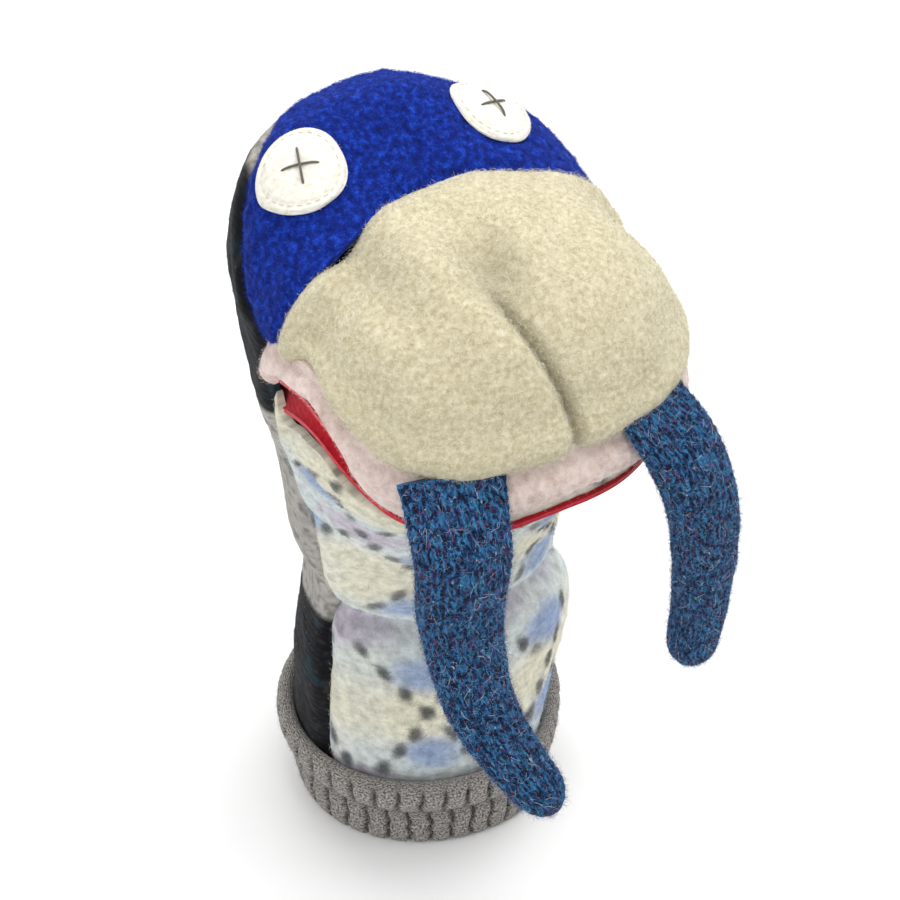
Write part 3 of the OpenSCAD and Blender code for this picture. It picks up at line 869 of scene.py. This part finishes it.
fore_base = lay_out(forehead_surface, 170, 64)
fore_face = facing(fore_base)
fore_relief = clothed(fore_base, depth=1.3, swell=0.4, grain=0.42, seed=6)
fore_relief += 0.3 * lumps(fore_base, 4.5, 12)
fore_outer = fore_base + fore_face * fore_relief[..., None]
forehead = wool_shell(
    "forehead_panel", fore_outer, fore_base - fore_face * wool,
    felted_wool("royal_blue_boucle_felt", ["#020c42", "#07237f", "#1f4cc6"], fleck=0.6,
                lump=2.0, sheen=0.04, row=3.0, depth=0.0006))
fore_nap = fibres("forehead_nap", fore_outer, 24000, 2.1,
                  [fibre_wool("nap_royal", "#0e2f94"), fibre_wool("nap_bright_blue", "#2148bd"),
                   fibre_wool("nap_deep_blue", "#081f70")], curl=0.9, thick=0.04, lift=0.45, seed=41)
for piece in (forehead, fore_nap):
    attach(piece, "head")
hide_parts("forehead")
laid(forehead, fore_nap, fore_base, least=0.31)


# %% [markdown]
# ## The muzzle's folds
# The real muzzle has one dart up its steep front, a hollow where the dart ends and two soft folds
# above it. A cloth simulation would put folds somewhere else on each run, and sculpting would
# leave nothing to read, so each fold is one soft hump or dip at its own place on the flat cloth.

# %% Muzzle
def muzzle_surface(u, v):
    start = dome(mix(-CHEEK, 90, u), 1.0)
    x1, f1 = brow_line(u)
    share = 1 - np.cos(np.radians(90 * v))
    return on_dome(mix(start[..., 0], x1, share), mix(-start[..., 1], f1, share))


muz_base = lay_out(muzzle_surface, 190, 96)
muz_face = facing(muz_base)


def muzzle_relief(points):
    """Dart, folds and fullness of the muzzle, from where each point lies."""
    x, forward = points[..., 0], -points[..., 1]
    foot, top, first, last = from_edges(points)
    height = points[..., 2] - rim
    below = ease((57 - foot) / 12)
    line = x + 8 - 9.5 * ease((57 - foot) / 50)
    dart = -(3.9 * below + 0.3) * hump(line, 1.8) * ease((64 - foot) / 8) * ease((foot + 3) / 9)
    puff = 0.9 * below * (hump(line - 8, 6) + hump(line + 8, 6))
    hollow = -4.4 * hump(line - 3, 7) * hump(foot - 62, 14)
    folds = 3.6 * (hump(line + 11, 8) + hump(line - 17, 9)) * hump(foot - 72, 24)
    folds -= 3.6 * hump(line + 27, 8) * hump(foot - 78, 28)
    waist = -4.5 * hump(forward - 22, 13) * ease((np.abs(x) - 30) / 18) * ease(height / 16)
    waist *= ease((top - 2) / 12)
    roll = 2.0 * hump(foot - 7.5, 6)
    return (dart + puff + hollow + folds + waist + roll) * ease(np.minimum(first, last) / 16)


muz_relief = clothed(muz_base, depth=1.8, swell=0.55, grain=0.2, seed=8) + muzzle_relief(muz_base)
muz_outer = muz_base + muz_face * muz_relief[..., None]


def painted_fold_shade(points):
    """How pale the muzzle is at each point: painted shade, darker in the dart, in the hollow where
    it ends and in the valley beside the folds.
    """
    foot = from_edges(points)[0]
    line = points[..., 0] + 8 - 9.5 * ease((57 - foot) / 50)
    dark = 0.28 * hump(line - 3, 8) * hump(foot - 60, 15)
    dark += 0.2 * hump(line + 27, 9) * hump(foot - 78, 28)
    dark += 0.3 * hump(line, 2.2) * ease((62 - foot) / 10) * ease((foot + 3) / 9)
    return (1 - dark)[..., None] * np.ones(3)


# painted shade darkens the muzzle's colour in its dart, its hollow and the valley by its folds
muzzle = wool_shell(
    "muzzle_panel", muz_outer, muz_base - muz_face * (wool - np.minimum(muz_relief, 0))[..., None],
    felted_wool("cream_felted_wool", ["#b0a582", "#c8c0a2", "#dcd5bd"], fleck=0.45, lump=1.7,
                row=2.0, depth=0.0005, shaded=True), painted_fold_shade(muz_base))
muz_nap = fibres("muzzle_nap", muz_outer, 30000, 2.4,
                 [fibre_wool("nap_cream", "#dcd6bf"), fibre_wool("nap_oatmeal", "#b3a98a"),
                  fibre_wool("nap_white", "#f0ecdc")], curl=0.9, thick=0.04, lift=0.5, seed=51)
for piece in (muzzle, muz_nap):
    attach(piece, "head")
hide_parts("muzzle")
laid(muzzle, muz_nap, muz_base)

# %% [markdown]
# ## Lips and mouth
# Under the muzzle runs a rolled lip of pale pink felt, ribbed where its knit shows at the front.
# The mouth is lined with red felt in two leaves. The lower leaf crowns up towards the upper one,
# so that a red sliver shows where the lips part at the corner.

# %% Rolled upper lip
def lip_surface(u, v):
    a = mix(-90, 90, u)
    return skin(a, mix(upper_lip(a), RIM, v))


lip_base = lay_out(lip_surface, 240, 30)
lip_face = facing(lip_base)
lip_cut = flat_cut(lip_base)
lip_up = lip_cut[..., 1] / lip_cut[:, -1:, 1]
ribs_here = ease((52 - np.abs(lip_cut[..., 0])) / 20)
lip_relief = clothed(lip_base, (True, False), depth=1.6, swell=0.7, grain=0.22, seed=14)
lip_relief += 2.6 * np.sin(math.pi * np.clip(lip_up * 1.05, 0, 1)) - 1.4 * hump(lip_up, 0.12)
lip_ribs = np.cos(2 * math.pi * (lip_cut[..., 0] / 3.4 + 0.8 * lumps(lip_base, 12, 3)))
lip_relief += 0.35 * ribs_here * lip_ribs
lip_outer = lip_base + lip_face * lip_relief[..., None]
lip_outer[..., 2] -= 1.2 * hump(lip_up, 0.4) * ease(-lip_base[..., 1] / 50)
lip_outer[..., 2] += 3.0 * ease((lip_up - 0.88) / 0.12)
lip_inner = lip_base - lip_face * wool
lip_inner[..., 2] += 3.0 * ease((lip_up - 0.88) / 0.12)
lip_inner[..., 2] -= 0.8 * hump(lip_up, 0.4) * ease(-lip_base[..., 1] / 50)
lip_band = wool_shell(
    "rolled_lip", lip_outer, lip_inner,
    felted_wool("pale_pink_felted_wool", ["#b8a39a", "#dac8c0", "#ebddd6"], fleck=0.45, lump=3.0,
                row=2.2, depth=0.00045))
lip_nap = fibres("rolled_lip_nap", lip_outer, 8000, 2.0,
                 [fibre_wool("nap_pink", "#ecdcd6"), fibre_wool("nap_rose", "#d8bfb8"),
                  fibre_wool("nap_ivory", "#f3eae4")], thick=0.04, seed=61)
for piece in (lip_band, lip_nap):
    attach(piece, "head")
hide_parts("lip_band")
laid(lip_band, lip_nap, lip_base)


# %% Mouth lining
def lining(s, crown_up, inset, drop=0.0):
    """A leaf of felt across the mouth at ring s, crowned up by so many millimetres."""
    a = mix(-88, 88, np.linspace(0, 1, 120))
    tucked_back = 1.2 * ease((np.cos(np.radians(a)) - 0.5) / 0.4)    # further in at the front
    edge = skin(a, s, -inset - tucked_back)
    back_f = -5.0       # the leaf is folded to the other one here, at the back of the mouth
    t = np.linspace(0, 1, 60)[None, :]
    x = edge[:, None, 0] * (1 + 0 * t)
    forward = mix(back_f, -edge[:, None, 1], t)
    power = 2.8         # squareness of the half moon, as that of the snout above it
    share = (np.abs(x / np.abs(edge[:, 0]).max()) ** power
             + np.abs(np.clip(forward, 0, None) / -edge[:, 1].min()) ** power) ** (1 / power)
    slope_f = (edge[0, 2] - edge[60, 2]) / (-edge[60, 1] + edge[0, 1])
    z = edge[0, 2] - slope_f * (forward + edge[0, 1])
    cheek = 12 * ease((-x - 10) / 22) * hump(forward - 22, 26)      # rides up with the rim
    points = at(x, forward, z + drop + (crown_up + cheek) * ease((1 - share) * 4.5) + cheek)
    points[..., 2] += 0.35 * lumps(points, 9, 17)
    return points


red_felt = felted_wool("red_craft_felt", ["#9c0a1c", "#c01329", "#d2243a"], fleck=0.4, lump=1.6,
                       row=1.2, depth=0.00025, sheen=0.35)
RED_NAP = [fibre_wool("nap_red", "#c4182d"), fibre_wool("nap_dark_red", "#95091a")]


def lining_piece(name, node, s, crown_up, inset, thick, count, seed, drop=0.0):
    top = lining(s, crown_up, inset, drop)
    under = top.copy()
    under[..., 2] -= thick
    made = wool_shell(name, top, under, red_felt)
    nap = fibres(name + "_nap", top, count, 1.1, RED_NAP, thick=0.035, seed=seed)
    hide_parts(node)
    laid(made, nap, top)
    return made, nap


FELT = 1.6      # thickness of the red felt
roof, roof_nap = lining_piece(
    "mouth_roof", "mouth_lining_upper", band_foot + 0.1, 0.5, 1.6, FELT, 1500, 71, drop=-2.0)
tongue, tongue_nap = lining_piece(
    "mouth_floor", "mouth_lining_lower", LIP - 0.02, 6.0, 1.2, FELT, 4000, 72)
for piece in (roof, roof_nap):
    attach(piece, "head")
for piece in (tongue, tongue_nap):
    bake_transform(piece)

# %% [markdown]
# ## Eyes
# Each eye is a disc of ivory felt, sewn down with small stitches just inside its edge and crossed
# with two long stitches of charcoal yarn. The discs are domed a little by the head beneath. The
# threads are twisted plies and not plain tubes, since their twist is what the eye reads as sewing.

# %% Place an eye
EYE, EYE_X, EYE_BACK, EYE_LIFT = 13.0, 31.5, {-1: 14.0, 1: 17.5}, 0.5


def eye_frame(side):
    """Middle of an eye and its three directions: across, up and out."""
    def spot(x, back):
        return on_dome(np.float64(x), np.float64(-back))
    x, back_by = side * EYE_X + face_off, EYE_BACK[side]
    here = spot(x, back_by)
    across = spot(x + 2, back_by) - here
    across /= np.linalg.norm(across)
    back = spot(x, back_by + 2) - here
    out = np.cross(across, back)
    out /= np.linalg.norm(out)
    return here, across, np.cross(out, across), out


def on_eye(side, x, y, lift):
    """Points over the head, x across the eye and y up it."""
    here, across, up, out = eye_frame(side)
    place = here + np.asarray(x)[..., None] * across + np.asarray(y)[..., None] * up
    return on_dome(place[..., 0], -place[..., 1]) + np.asarray(lift)[..., None] * out


# %% Thread
def sewing_thread(name, dark, pale):
    """Spun cotton: faintly lustrous along its plies, darker between them."""
    material, tree = new_material(name)
    place = add(tree, "TexCoord")
    grain = add(tree, "TexNoise", {
        "Vector": place.outputs["Object"], "Scale": 2500.0, "Detail": 2.0})
    tone = add(tree, "Mix", {0: grain.outputs[0], 6: paint(dark), 7: paint(pale)}, data_type="RGBA")
    bump = add(tree, "Bump", {"Height": grain.outputs[0], "Distance": 0.0001, "Strength": 0.7})
    surface = add(tree, "BsdfPrincipled", {
        "Base Color": tone.outputs[2], "Normal": bump.outputs[0], "Roughness": 0.7,
        "Specular IOR Level": 0.3, "Sheen Weight": 0.2})
    add(tree, "OutputMaterial", {"Surface": surface.outputs[0]})
    return material


TWIST = 2.2         # length of one turn of the plies, in widths of the thread
SIDES = 8           # points round one ply
END_FACES = np.array([(0, 1, 2, 3), (0, 3, 4, 7), (7, 4, 5, 6)])     # closes the end of a ply


def plied(paths, out, width, plies=3):
    """Points and faces of twisted threads that follow the paths, each ply a closed tube."""
    points, faces, count = [], [], 0
    for path in paths:
        way = np.gradient(path, axis=0)
        way /= np.linalg.norm(way, axis=1, keepdims=True)
        side = np.cross(way, out)
        side /= np.linalg.norm(side, axis=1, keepdims=True)
        up = np.cross(side, way)
        run = np.concatenate([[0], np.cumsum(np.linalg.norm(np.diff(path, axis=0), axis=1))])
        taper = 0.45 + 0.55 * ease(np.minimum(run, run[-1] - run) / (2.2 * width) + 0.1)
        for ply in range(plies):
            turn = 2 * math.pi * (run / (TWIST * 2 * width) + ply / plies)
            off = 0.5 * width * taper
            core = path + (off * np.cos(turn))[:, None] * side + (off * np.sin(turn))[:, None] * up
            ring = np.linspace(0, 2 * math.pi, SIDES, endpoint=False)
            thick = (0.62 * width * taper)[:, None, None]
            tube = core[:, None] + thick * (np.cos(ring)[None, :, None] * side[:, None]
                                            + np.sin(ring)[None, :, None] * up[:, None])
            rows = len(path)
            index = np.arange(rows * SIDES).reshape(rows, SIDES) + count
            walls = quads(rows, SIDES, count, wrap_up=True)
            caps = [index[0][END_FACES], index[-1][::-1][END_FACES]]
            points.append(tube.reshape(-1, 3))
            faces += [walls[:, ::-1], *caps]
            count += rows * SIDES
    points = np.concatenate(points)
    return points, outward(points, np.concatenate(faces))


# %% Make the eyes
ivory = felted_wool("ivory_craft_felt", ["#cfccbd", "#e6e3d8", "#f0eee6"], fleck=0.35, lump=1.8,
                    row=1.2, depth=0.0002, sheen=0.3)
IVORY_NAP = [fibre_wool("nap_eye", "#f2efe4"), fibre_wool("nap_eye_shade", "#dedacb")]
charcoal = sewing_thread("charcoal_embroidery_cotton", "#3d3a36", "#7d776f")
ecru = sewing_thread("ecru_sewing_cotton", "#cfcabb", "#ebe7da")
EYE_FELT = 1.5
STITCH_IN = 2.0


def eye_disc(side, name):
    points_across = 56
    grid_line = np.linspace(-1, 1, points_across)
    u, v = np.meshgrid(grid_line, grid_line, indexing="ij")
    radius = EYE * (1 + 0.012 * np.sin(5 * np.arctan2(v, u) + side))
    x, y = radius * u * np.sqrt(1 - v * v / 2), radius * v * np.sqrt(1 - u * u / 2)
    r = np.hypot(x, y)
    sink = 0.45 * hump(r - (EYE - STITCH_IN), 0.8) + 0.35 * hump(np.hypot(x, y), 2.0)
    crown_up = 0.7 * (1 - (r / EYE) ** 2)
    top = EYE_LIFT + EYE_FELT + crown_up - sink - 0.8 * ease((r - EYE + 0.9) / 0.9)
    outer = on_eye(side, x, y, top)
    outer += 0.1 * lumps(outer, 2.2, 19)[..., None] * eye_frame(side)[3]
    inner = on_eye(side, x, y, EYE_LIFT + 0.1 - 0.5 * (1 - (r / EYE) ** 2))
    cut = np.stack([x, y], axis=-1)
    made = wool_shell(name, outer, inner, ivory, cut=cut)
    nap = fibres(name + "_nap", outer, 2500, 0.9, IVORY_NAP, thick=0.03, lift=0.35, seed=80 + side)
    return made, nap


def eye_cross(side, name):
    out = eye_frame(side)[3]
    paths = []
    start = -24 if side < 0 else 15
    for turn, low in ((math.radians(start), 0.0), (math.radians(start + 90), 0.55)):
        t = np.linspace(-1, 1, 60)
        far = 6.3 * t
        lift = EYE_LIFT + EYE_FELT + 1.0 + low - 2.4 * np.abs(t) ** 7 - low * np.abs(t) ** 2
        paths.append(on_eye(side, far * math.cos(turn), far * math.sin(turn), lift))
    points, faces = plied(paths, out, 0.36)
    return make_piece(name, points, faces, [charcoal])


def eye_stitches(side, name):
    out = eye_frame(side)[3]
    paths = []
    stitches = 26
    run = EYE - STITCH_IN
    for k in range(stitches):
        t = np.linspace(-0.32, 0.32, 9)
        turn = 2 * math.pi * (k + t) / stitches
        lift = EYE_LIFT + EYE_FELT + 0.05 - 0.35 * (t / 0.32) ** 2
        paths.append(on_eye(side, run * np.cos(turn), run * np.sin(turn), lift))
    points, faces = plied(paths, out, 0.17, plies=2)
    return make_piece(name, points, faces, [ecru])


for side, word in ((-1, "left"), (1, "right")):
    disc, disc_nap = eye_disc(side, f"eye_{word}_felt")
    cross = eye_cross(side, f"eye_{word}_cross")
    ring = eye_stitches(side, f"eye_{word}_stitches")
    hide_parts(f"eye_{word}")
    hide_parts(f"eye_cross_{word}")
    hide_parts(f"eye_stitching_{word}")
    for piece, slot in ((disc, "ivory_felt"), (disc_nap, "ivory_felt"),
                        (cross, "charcoal_thread"), (ring, "ivory_thread")):
        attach(piece, "head")
print("eyes:", 2 * EYE, "mm across")

# %% [markdown]
# ## Tusks
# Two stuffed tubes of blue tweed knitting, felted less than the rest, so their columns of stitches
# still stand up. Each is flat where it is sewn under the snout and rounds out to a blunt tip. The
# tweed is a navy and blue yarn with teal, plum and white flecks spun into it.

# %% Tweed wool
def tweed_wool():
    """Blue tweed knitting wool: short streaks of many dyed fibres along each stitch."""
    material, tree = new_material("blue_tweed_knitting_wool")
    cut = add(tree, "UVMap", uv_map="cut")
    streak = add(tree, "VectorMath", {0: cut.outputs[0], 1: (1000.0, 520.0, 1000.0)},
                 operation="MULTIPLY")
    blend = add(tree, "TexNoise", {"Vector": streak.outputs[0], "Scale": 1 / 1.3, "Detail": 4.0,
                                   "Roughness": 0.7, "Distortion": 0.8})
    ramp = add(tree, "ValToRGB", {"Fac": blend.outputs[0]})
    tones = ((0.37, "#060a18"), (0.45, "#102246"), (0.52, "#1b4677"), (0.59, "#3f86bb"),
             (0.7, "#15365f"))
    ramp.color_ramp.elements[0].position, ramp.color_ramp.elements[1].position = 0.37, 0.7
    ramp.color_ramp.elements[0].color = paint(tones[0][1])
    ramp.color_ramp.elements[1].color = paint(tones[-1][1])
    for place, code in tones[1:-1]:
        ramp.color_ramp.elements.new(place).color = paint(code)
    tone = ramp.outputs[0]
    for size, edge, code, seed in ((1.5, 0.64, "#6f2c58", 3.1), (1.1, 0.68, "#b9c6d2", 9.4),
                                   (2.2, 0.66, "#2b8aa3", 17.0)):
        moved = add(tree, "VectorMath", {0: streak.outputs[0], 1: (seed, seed, seed)},
                    operation="ADD")
        fleck = add(tree, "TexNoise", {"Vector": moved.outputs[0], "Scale": 1 / size, "Detail": 2.0,
                                       "Distortion": 1.5})
        shown = add(tree, "MapRange", {0: fleck.outputs[0], 1: edge, 2: edge + 0.06})
        tone = add(tree, "Mix", {0: shown.outputs[0], 6: tone, 7: paint(code)},
                   data_type="RGBA").outputs[2]
    # painted shade from the vertex colours, darker between the columns of stitches
    painted_shade = add(tree, "VertexColor", layer_name="shade")
    shaded = add(tree, "Mix", {0: 1.0, 6: tone, 7: painted_shade.outputs[0]}, data_type="RGBA",
                 blend_type="MULTIPLY")
    hairs = add(tree, "TexNoise", {"Vector": streak.outputs[0], "Scale": 1 / 0.35, "Detail": 3.0})
    bump = add(tree, "Bump", {"Height": hairs.outputs[0], "Distance": 0.0004, "Strength": 0.9})
    surface = add(tree, "BsdfPrincipled", {
        "Base Color": shaded.outputs[2], "Normal": bump.outputs[0], "Roughness": 0.85,
        "Specular IOR Level": 0.15, "Sheen Weight": 0.08, "Sheen Roughness": 0.5})
    add(tree, "OutputMaterial", {"Surface": surface.outputs[0]})
    return material


# %% Shape of a tusk
ACROSS = {-1: [0, -2.5, -4, -2, 10], 1: [-3.5, 5.5, 10.5, 12, 11]}
FORWARD = {-1: [-9.5, 1, 3, 13, 33], 1: [-11, 2.5, 6, 5, 3]}
DOWN = [0, 0.21, 0.44, 0.72, 1]
DROP = {-1: 101.0, 1: 105.0}
TUSK_RAISE = {-1: 0.0, 1: 6.0}
TUSK_X = 32.0
TUSK_TOP = high_of("tusk_cover_left")[2]
WALE, COURSE = 3.3, 2.5


def tusk_path(side, s):
    """Middle line of a tusk, s from 0 at its sewn edge to 1 at its tip."""
    route = np.stack([ACROSS[side], FORWARD[side], DOWN], axis=-1).astype(float)
    x, forward, down = np.moveaxis(along(route, 4 * s), -1, 0)
    z = TUSK_TOP + TUSK_RAISE[side] - DROP[side] * down
    return at(side * TUSK_X + face_off + x, snout + 3.8 + forward, z)


def tusk_skin(side, rows, around, set_in=0.0, start=0.0):
    t = np.linspace(0, 1, rows)     # the rows crowd together over the rounded tip
    s = np.where(t < 0.8, t * 1.09, mix(0.872, 0.9995, np.sin((t - 0.8) / 0.2 * math.pi / 2)))
    s = mix(start, 1 - set_in / DROP[side], s)
    path = tusk_path(side, s)
    way = tusk_path(side, s + 0.005) - tusk_path(side, s - 0.005)
    way /= np.linalg.norm(way, axis=1, keepdims=True)
    across = np.array([1.0, 0, 0]) - way[:, :1] * way
    across /= np.linalg.norm(across, axis=1, keepdims=True)
    yaw = side * 0.3 * (1 - 0.6 * s)
    across = across + yaw[:, None] * np.array([0, 1.0, 0])
    across -= (across * way).sum(1, keepdims=True) * way
    across /= np.linalg.norm(across, axis=1, keepdims=True)
    deep = np.cross(way, across)
    cap = np.sqrt(1 - np.clip((s - s[-1] + 0.075) / 0.0755, 0, 1) ** 2)
    top_width = 14.5 if side < 0 else 12.0
    width = mix(top_width, 7.2, np.clip(s, 0, 1) ** 1.4) + 0.8 * hump(s, 0.05)
    depth = mix(1.7, 8.6, ease(s / 0.26)) * mix(1, 0.78, ease((s - 0.4) / 0.6))
    a = (np.arange(around) + 0.5) / around * 2 * math.pi
    ring_x = np.sign(np.cos(a)) * np.abs(np.cos(a)) ** 0.85
    ring_y = np.sign(np.sin(a)) * np.abs(np.sin(a)) ** 0.85
    half_x = (cap * (width - set_in))[:, None, None]
    half_y = (cap * (depth - set_in))[:, None, None]
    body = path[:, None] + half_x * ring_x[None, :, None] * across[:, None]
    points = body + half_y * ring_y[None, :, None] * deep[:, None]
    girth = np.cumsum(np.linalg.norm(np.roll(points, -1, 1) - points, axis=2), axis=1)
    run = np.concatenate([[0], np.cumsum(np.linalg.norm(np.diff(path, axis=0), axis=1))])
    wales = round(58 / WALE)
    cut = np.stack([girth / girth[:, -1:] * wales * WALE, run[:, None] + 0 * girth], axis=-1)
    return points, cut


def knit_relief(cut):
    """Columns of stitches, each a pair of slanted loops."""
    column = (cut[..., 0] / WALE) % 1 - 0.5
    leg = hump(np.abs(column) - 0.24, 0.17)
    loop = 0.5 + 0.5 * np.cos(2 * math.pi * (cut[..., 1] / COURSE + 1.3 * np.abs(column)))
    return leg * (0.45 + 0.55 * loop)


def tube(points):
    """Closed faces of a tube whose rows are rings, its ends zipped flat."""
    rows, around = points.shape[:2]
    index = np.arange(rows * around).reshape(rows, around)
    half = around // 2
    ends = []
    for ring in (index[0], index[-1][::-1]):
        ends.append(np.array([(ring[k], ring[k + 1], ring[around - 2 - k], ring[around - 1 - k])
                              for k in range(half - 1)]))
    return np.concatenate([quads(rows, around, wrap_up=True)[:, ::-1], *ends])


TUSK_NAP = [fibre_wool(f"nap_tweed_{i}", code) for i, code in enumerate(
    ["#3f83bb", "#1c3f74", "#56a8cc", "#0d1a38", "#7b3564", "#a9c0d6", "#2b5f96", "#0d1a38"])]
WHITE_NAP = [fibre_wool("nap_stray_white", "#dfe6ec"), fibre_wool("nap_stray_plum", "#9c4a7c")]
tweed = tweed_wool()


def tusk(side, word):
    outer, cut = tusk_skin(side, 210, 150)
    knit = knit_relief(cut)
    way = np.cross(np.gradient(outer, axis=0), np.roll(outer, -1, 1) - np.roll(outer, 1, 1))
    way /= np.maximum(np.linalg.norm(way, axis=-1, keepdims=True), 1e-9)
    way *= np.sign(np.median((way * (outer - outer.mean(1, keepdims=True))).sum(-1)))
    row = np.arange(len(outer))[:, None] / len(outer)
    calm = ease(row * 14) * ease((1 - row) * 9)
    height = calm * (0.75 * knit - 0.35) + 0.35 * lumps(outer, 7, 23) * calm
    shown = outer + way * height[..., None]
    inner = tusk_skin(side, 60, 60, set_in=2.2, start=0.03)[0]
    hollow = tube(inner)
    outer_faces = outward(shown.reshape(-1, 3), tube(shown))
    inner_faces = outward(inner.reshape(-1, 3), hollow)[:, ::-1]
    count = shown.shape[0] * shown.shape[1]
    points = np.concatenate([shown.reshape(-1, 3), inner.reshape(-1, 3)])
    # painted shade: darker between the raised legs of the stitches
    wear_and_stitch_shade = (0.5 + 0.62 * knit * calm + 0.3 * (1 - calm)).reshape(-1)
    shade = np.concatenate([wear_and_stitch_shade, np.ones(inner.size // 3)])
    flat = np.concatenate([cut.reshape(-1, 2), np.zeros((inner.size // 3, 2))])
    faces = np.concatenate([outer_faces, inner_faces + count])
    cover = make_piece(f"tusk_{word}_cover", points, faces, [tweed], flat,
                       np.repeat(shade[:, None], 3, axis=1))
    closed = np.concatenate([shown, shown[:, :1]], axis=1)[:-3]
    nap = fibres(f"tusk_{word}_nap", closed, 19000, 2.6, TUSK_NAP, thick=0.036, lift=0.5, curl=1.1,
                 seed=91 + side)
    stray = fibres(f"tusk_{word}_strays", closed, 500, 5.5, WHITE_NAP, thick=0.045, lift=0.4,
                   curl=1.3, seed=95 + side)
    return cover, nap, stray


def polyester_filling():
    """Carded polyester fibre: white, springy, clumped."""
    material, tree = new_material("carded_polyester_filling")
    place = add(tree, "TexCoord")
    clumps = add(tree, "TexNoise", {
        "Vector": place.outputs["Object"], "Scale": 300.0, "Detail": 5.0})
    tone = add(tree, "Mix", {0: clumps.outputs[0], 6: paint("#d9d8d2"), 7: paint("#f6f5f0")},
               data_type="RGBA")
    bump = add(tree, "Bump", {"Height": clumps.outputs[0], "Distance": 0.001, "Strength": 0.8})
    surface = add(tree, "BsdfPrincipled", {
        "Base Color": tone.outputs[2], "Normal": bump.outputs[0], "Roughness": 0.9,
        "Sheen Weight": 0.3})
    add(tree, "OutputMaterial", {"Surface": surface.outputs[0]})
    return material


filling = polyester_filling()
for side, word in ((-1, "left"), (1, "right")):
    cover, nap, stray = tusk(side, word)
    core = tusk_skin(side, 60, 48, set_in=3.2, start=0.14)[0]
    core += (0.4 * lumps(core, 5, 29))[..., None] * np.array([0.3, 1.0, 0.2])
    stuffing = make_piece(f"tusk_{word}_stuffing", core.reshape(-1, 3),
                          outward(core.reshape(-1, 3), tube(core)), [filling])
    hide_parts(f"tusk_cover_{word}")
    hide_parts(f"tusk_stuffing_{word}")
    for piece, slot in ((cover, "blue_tweed_knit"), (nap, "blue_tweed_knit"),
                        (stray, "blue_tweed_knit"), (stuffing, "fibre_filling")):
        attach(piece, f"tusk_{word}")
print("tusks:", DROP[-1], "and", DROP[1], "mm long")

# %% [markdown]
# ## Inside: seam allowances and filling
# A hand inside would feel the turned-in edges of the seams and the pad that keeps the snout round.
# They are made as thin ruffled strips and a clumped pad, each in the space kept for it.

# %% Seam allowances
def strip(name, surface, across, up, material, node):
    """A raw-edged strip of cloth behind a seam."""
    u, v = np.meshgrid(np.linspace(0, 1, across), np.linspace(0, 1, up), indexing="ij")
    base = surface(u, v)
    face = facing(base)
    ruffle = (0.25 * lumps(base, 5, 33))[..., None] * face
    made = wool_shell(name, base - 0.5 * face + ruffle, base - 2.0 * face + ruffle, material)
    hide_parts(node)
    (width, length), area = cut_size(base)
    return made


seam_wool = felted_wool("felted_seam_wool", ["#9a958c", "#bdb8ae", "#d5d1c8"], depth=0.0004)
SEAM = 7.0
UNDER = wool + 1.4
for side, word in ((-1, "left"), (1, "right")):
    half = math.degrees(SEAM / 2 / half_sleeve)

    def side_strip(u, v):
        return skin(side * 90 + mix(-half, half, u), mix(0.45, 3.6, v), -UNDER)
    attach(strip(f"side_seam_{word}_allowance", side_strip, 12, 60, seam_wool,
                  f"side_seam_{word}"), "sleeve")


def crown_strip(u, v):
    a = mix(100, 260, u)
    here = dome(a, crown_line(a) - mix(0.0, SEAM / nape_back, v))
    forward = head_middle + (-here[..., 1] - head_middle) * 0.94
    return at(here[..., 0] * 0.94, forward, here[..., 2] - UNDER)


def brow_strip(u, v):
    x = mix(-36, 36, u)
    here = on_dome(x, 3 + 4 * (x / half_head) ** 2 + mix(SEAM / 2, -SEAM / 2, v))
    here[..., 2] -= UNDER
    return here


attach(strip("crown_seam_allowance", crown_strip, 90, 8, seam_wool, "crown_seam"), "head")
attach(strip("brow_seam_allowance", brow_strip, 60, 8, seam_wool, "brow_seam"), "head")

# %% Snout pad
pad_low, pad_high = low_of("muzzle_padding"), high_of("muzzle_padding")
pad_middle, pad_half = (pad_low + pad_high) / 2, (pad_high - pad_low) / 2 - 8.0
turn, tilt = np.meshgrid(np.linspace(0, 2 * math.pi, 72, endpoint=False),
                         np.linspace(-0.495 * math.pi, 0.495 * math.pi, 36))
ball = np.stack([np.cos(tilt) * np.cos(turn), np.cos(tilt) * np.sin(turn), np.sin(tilt)], axis=-1)
ball = np.sign(ball) * np.abs(ball) ** 0.8
pad_points = pad_middle + ball * pad_half * (1 + 0.03 * lumps(ball * 30, 9, 37))[..., None]
pad = make_piece("snout_pad", pad_points.reshape(-1, 3),
                 outward(pad_points.reshape(-1, 3), tube(pad_points)), [filling])
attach(pad, "head")
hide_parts("muzzle_padding")
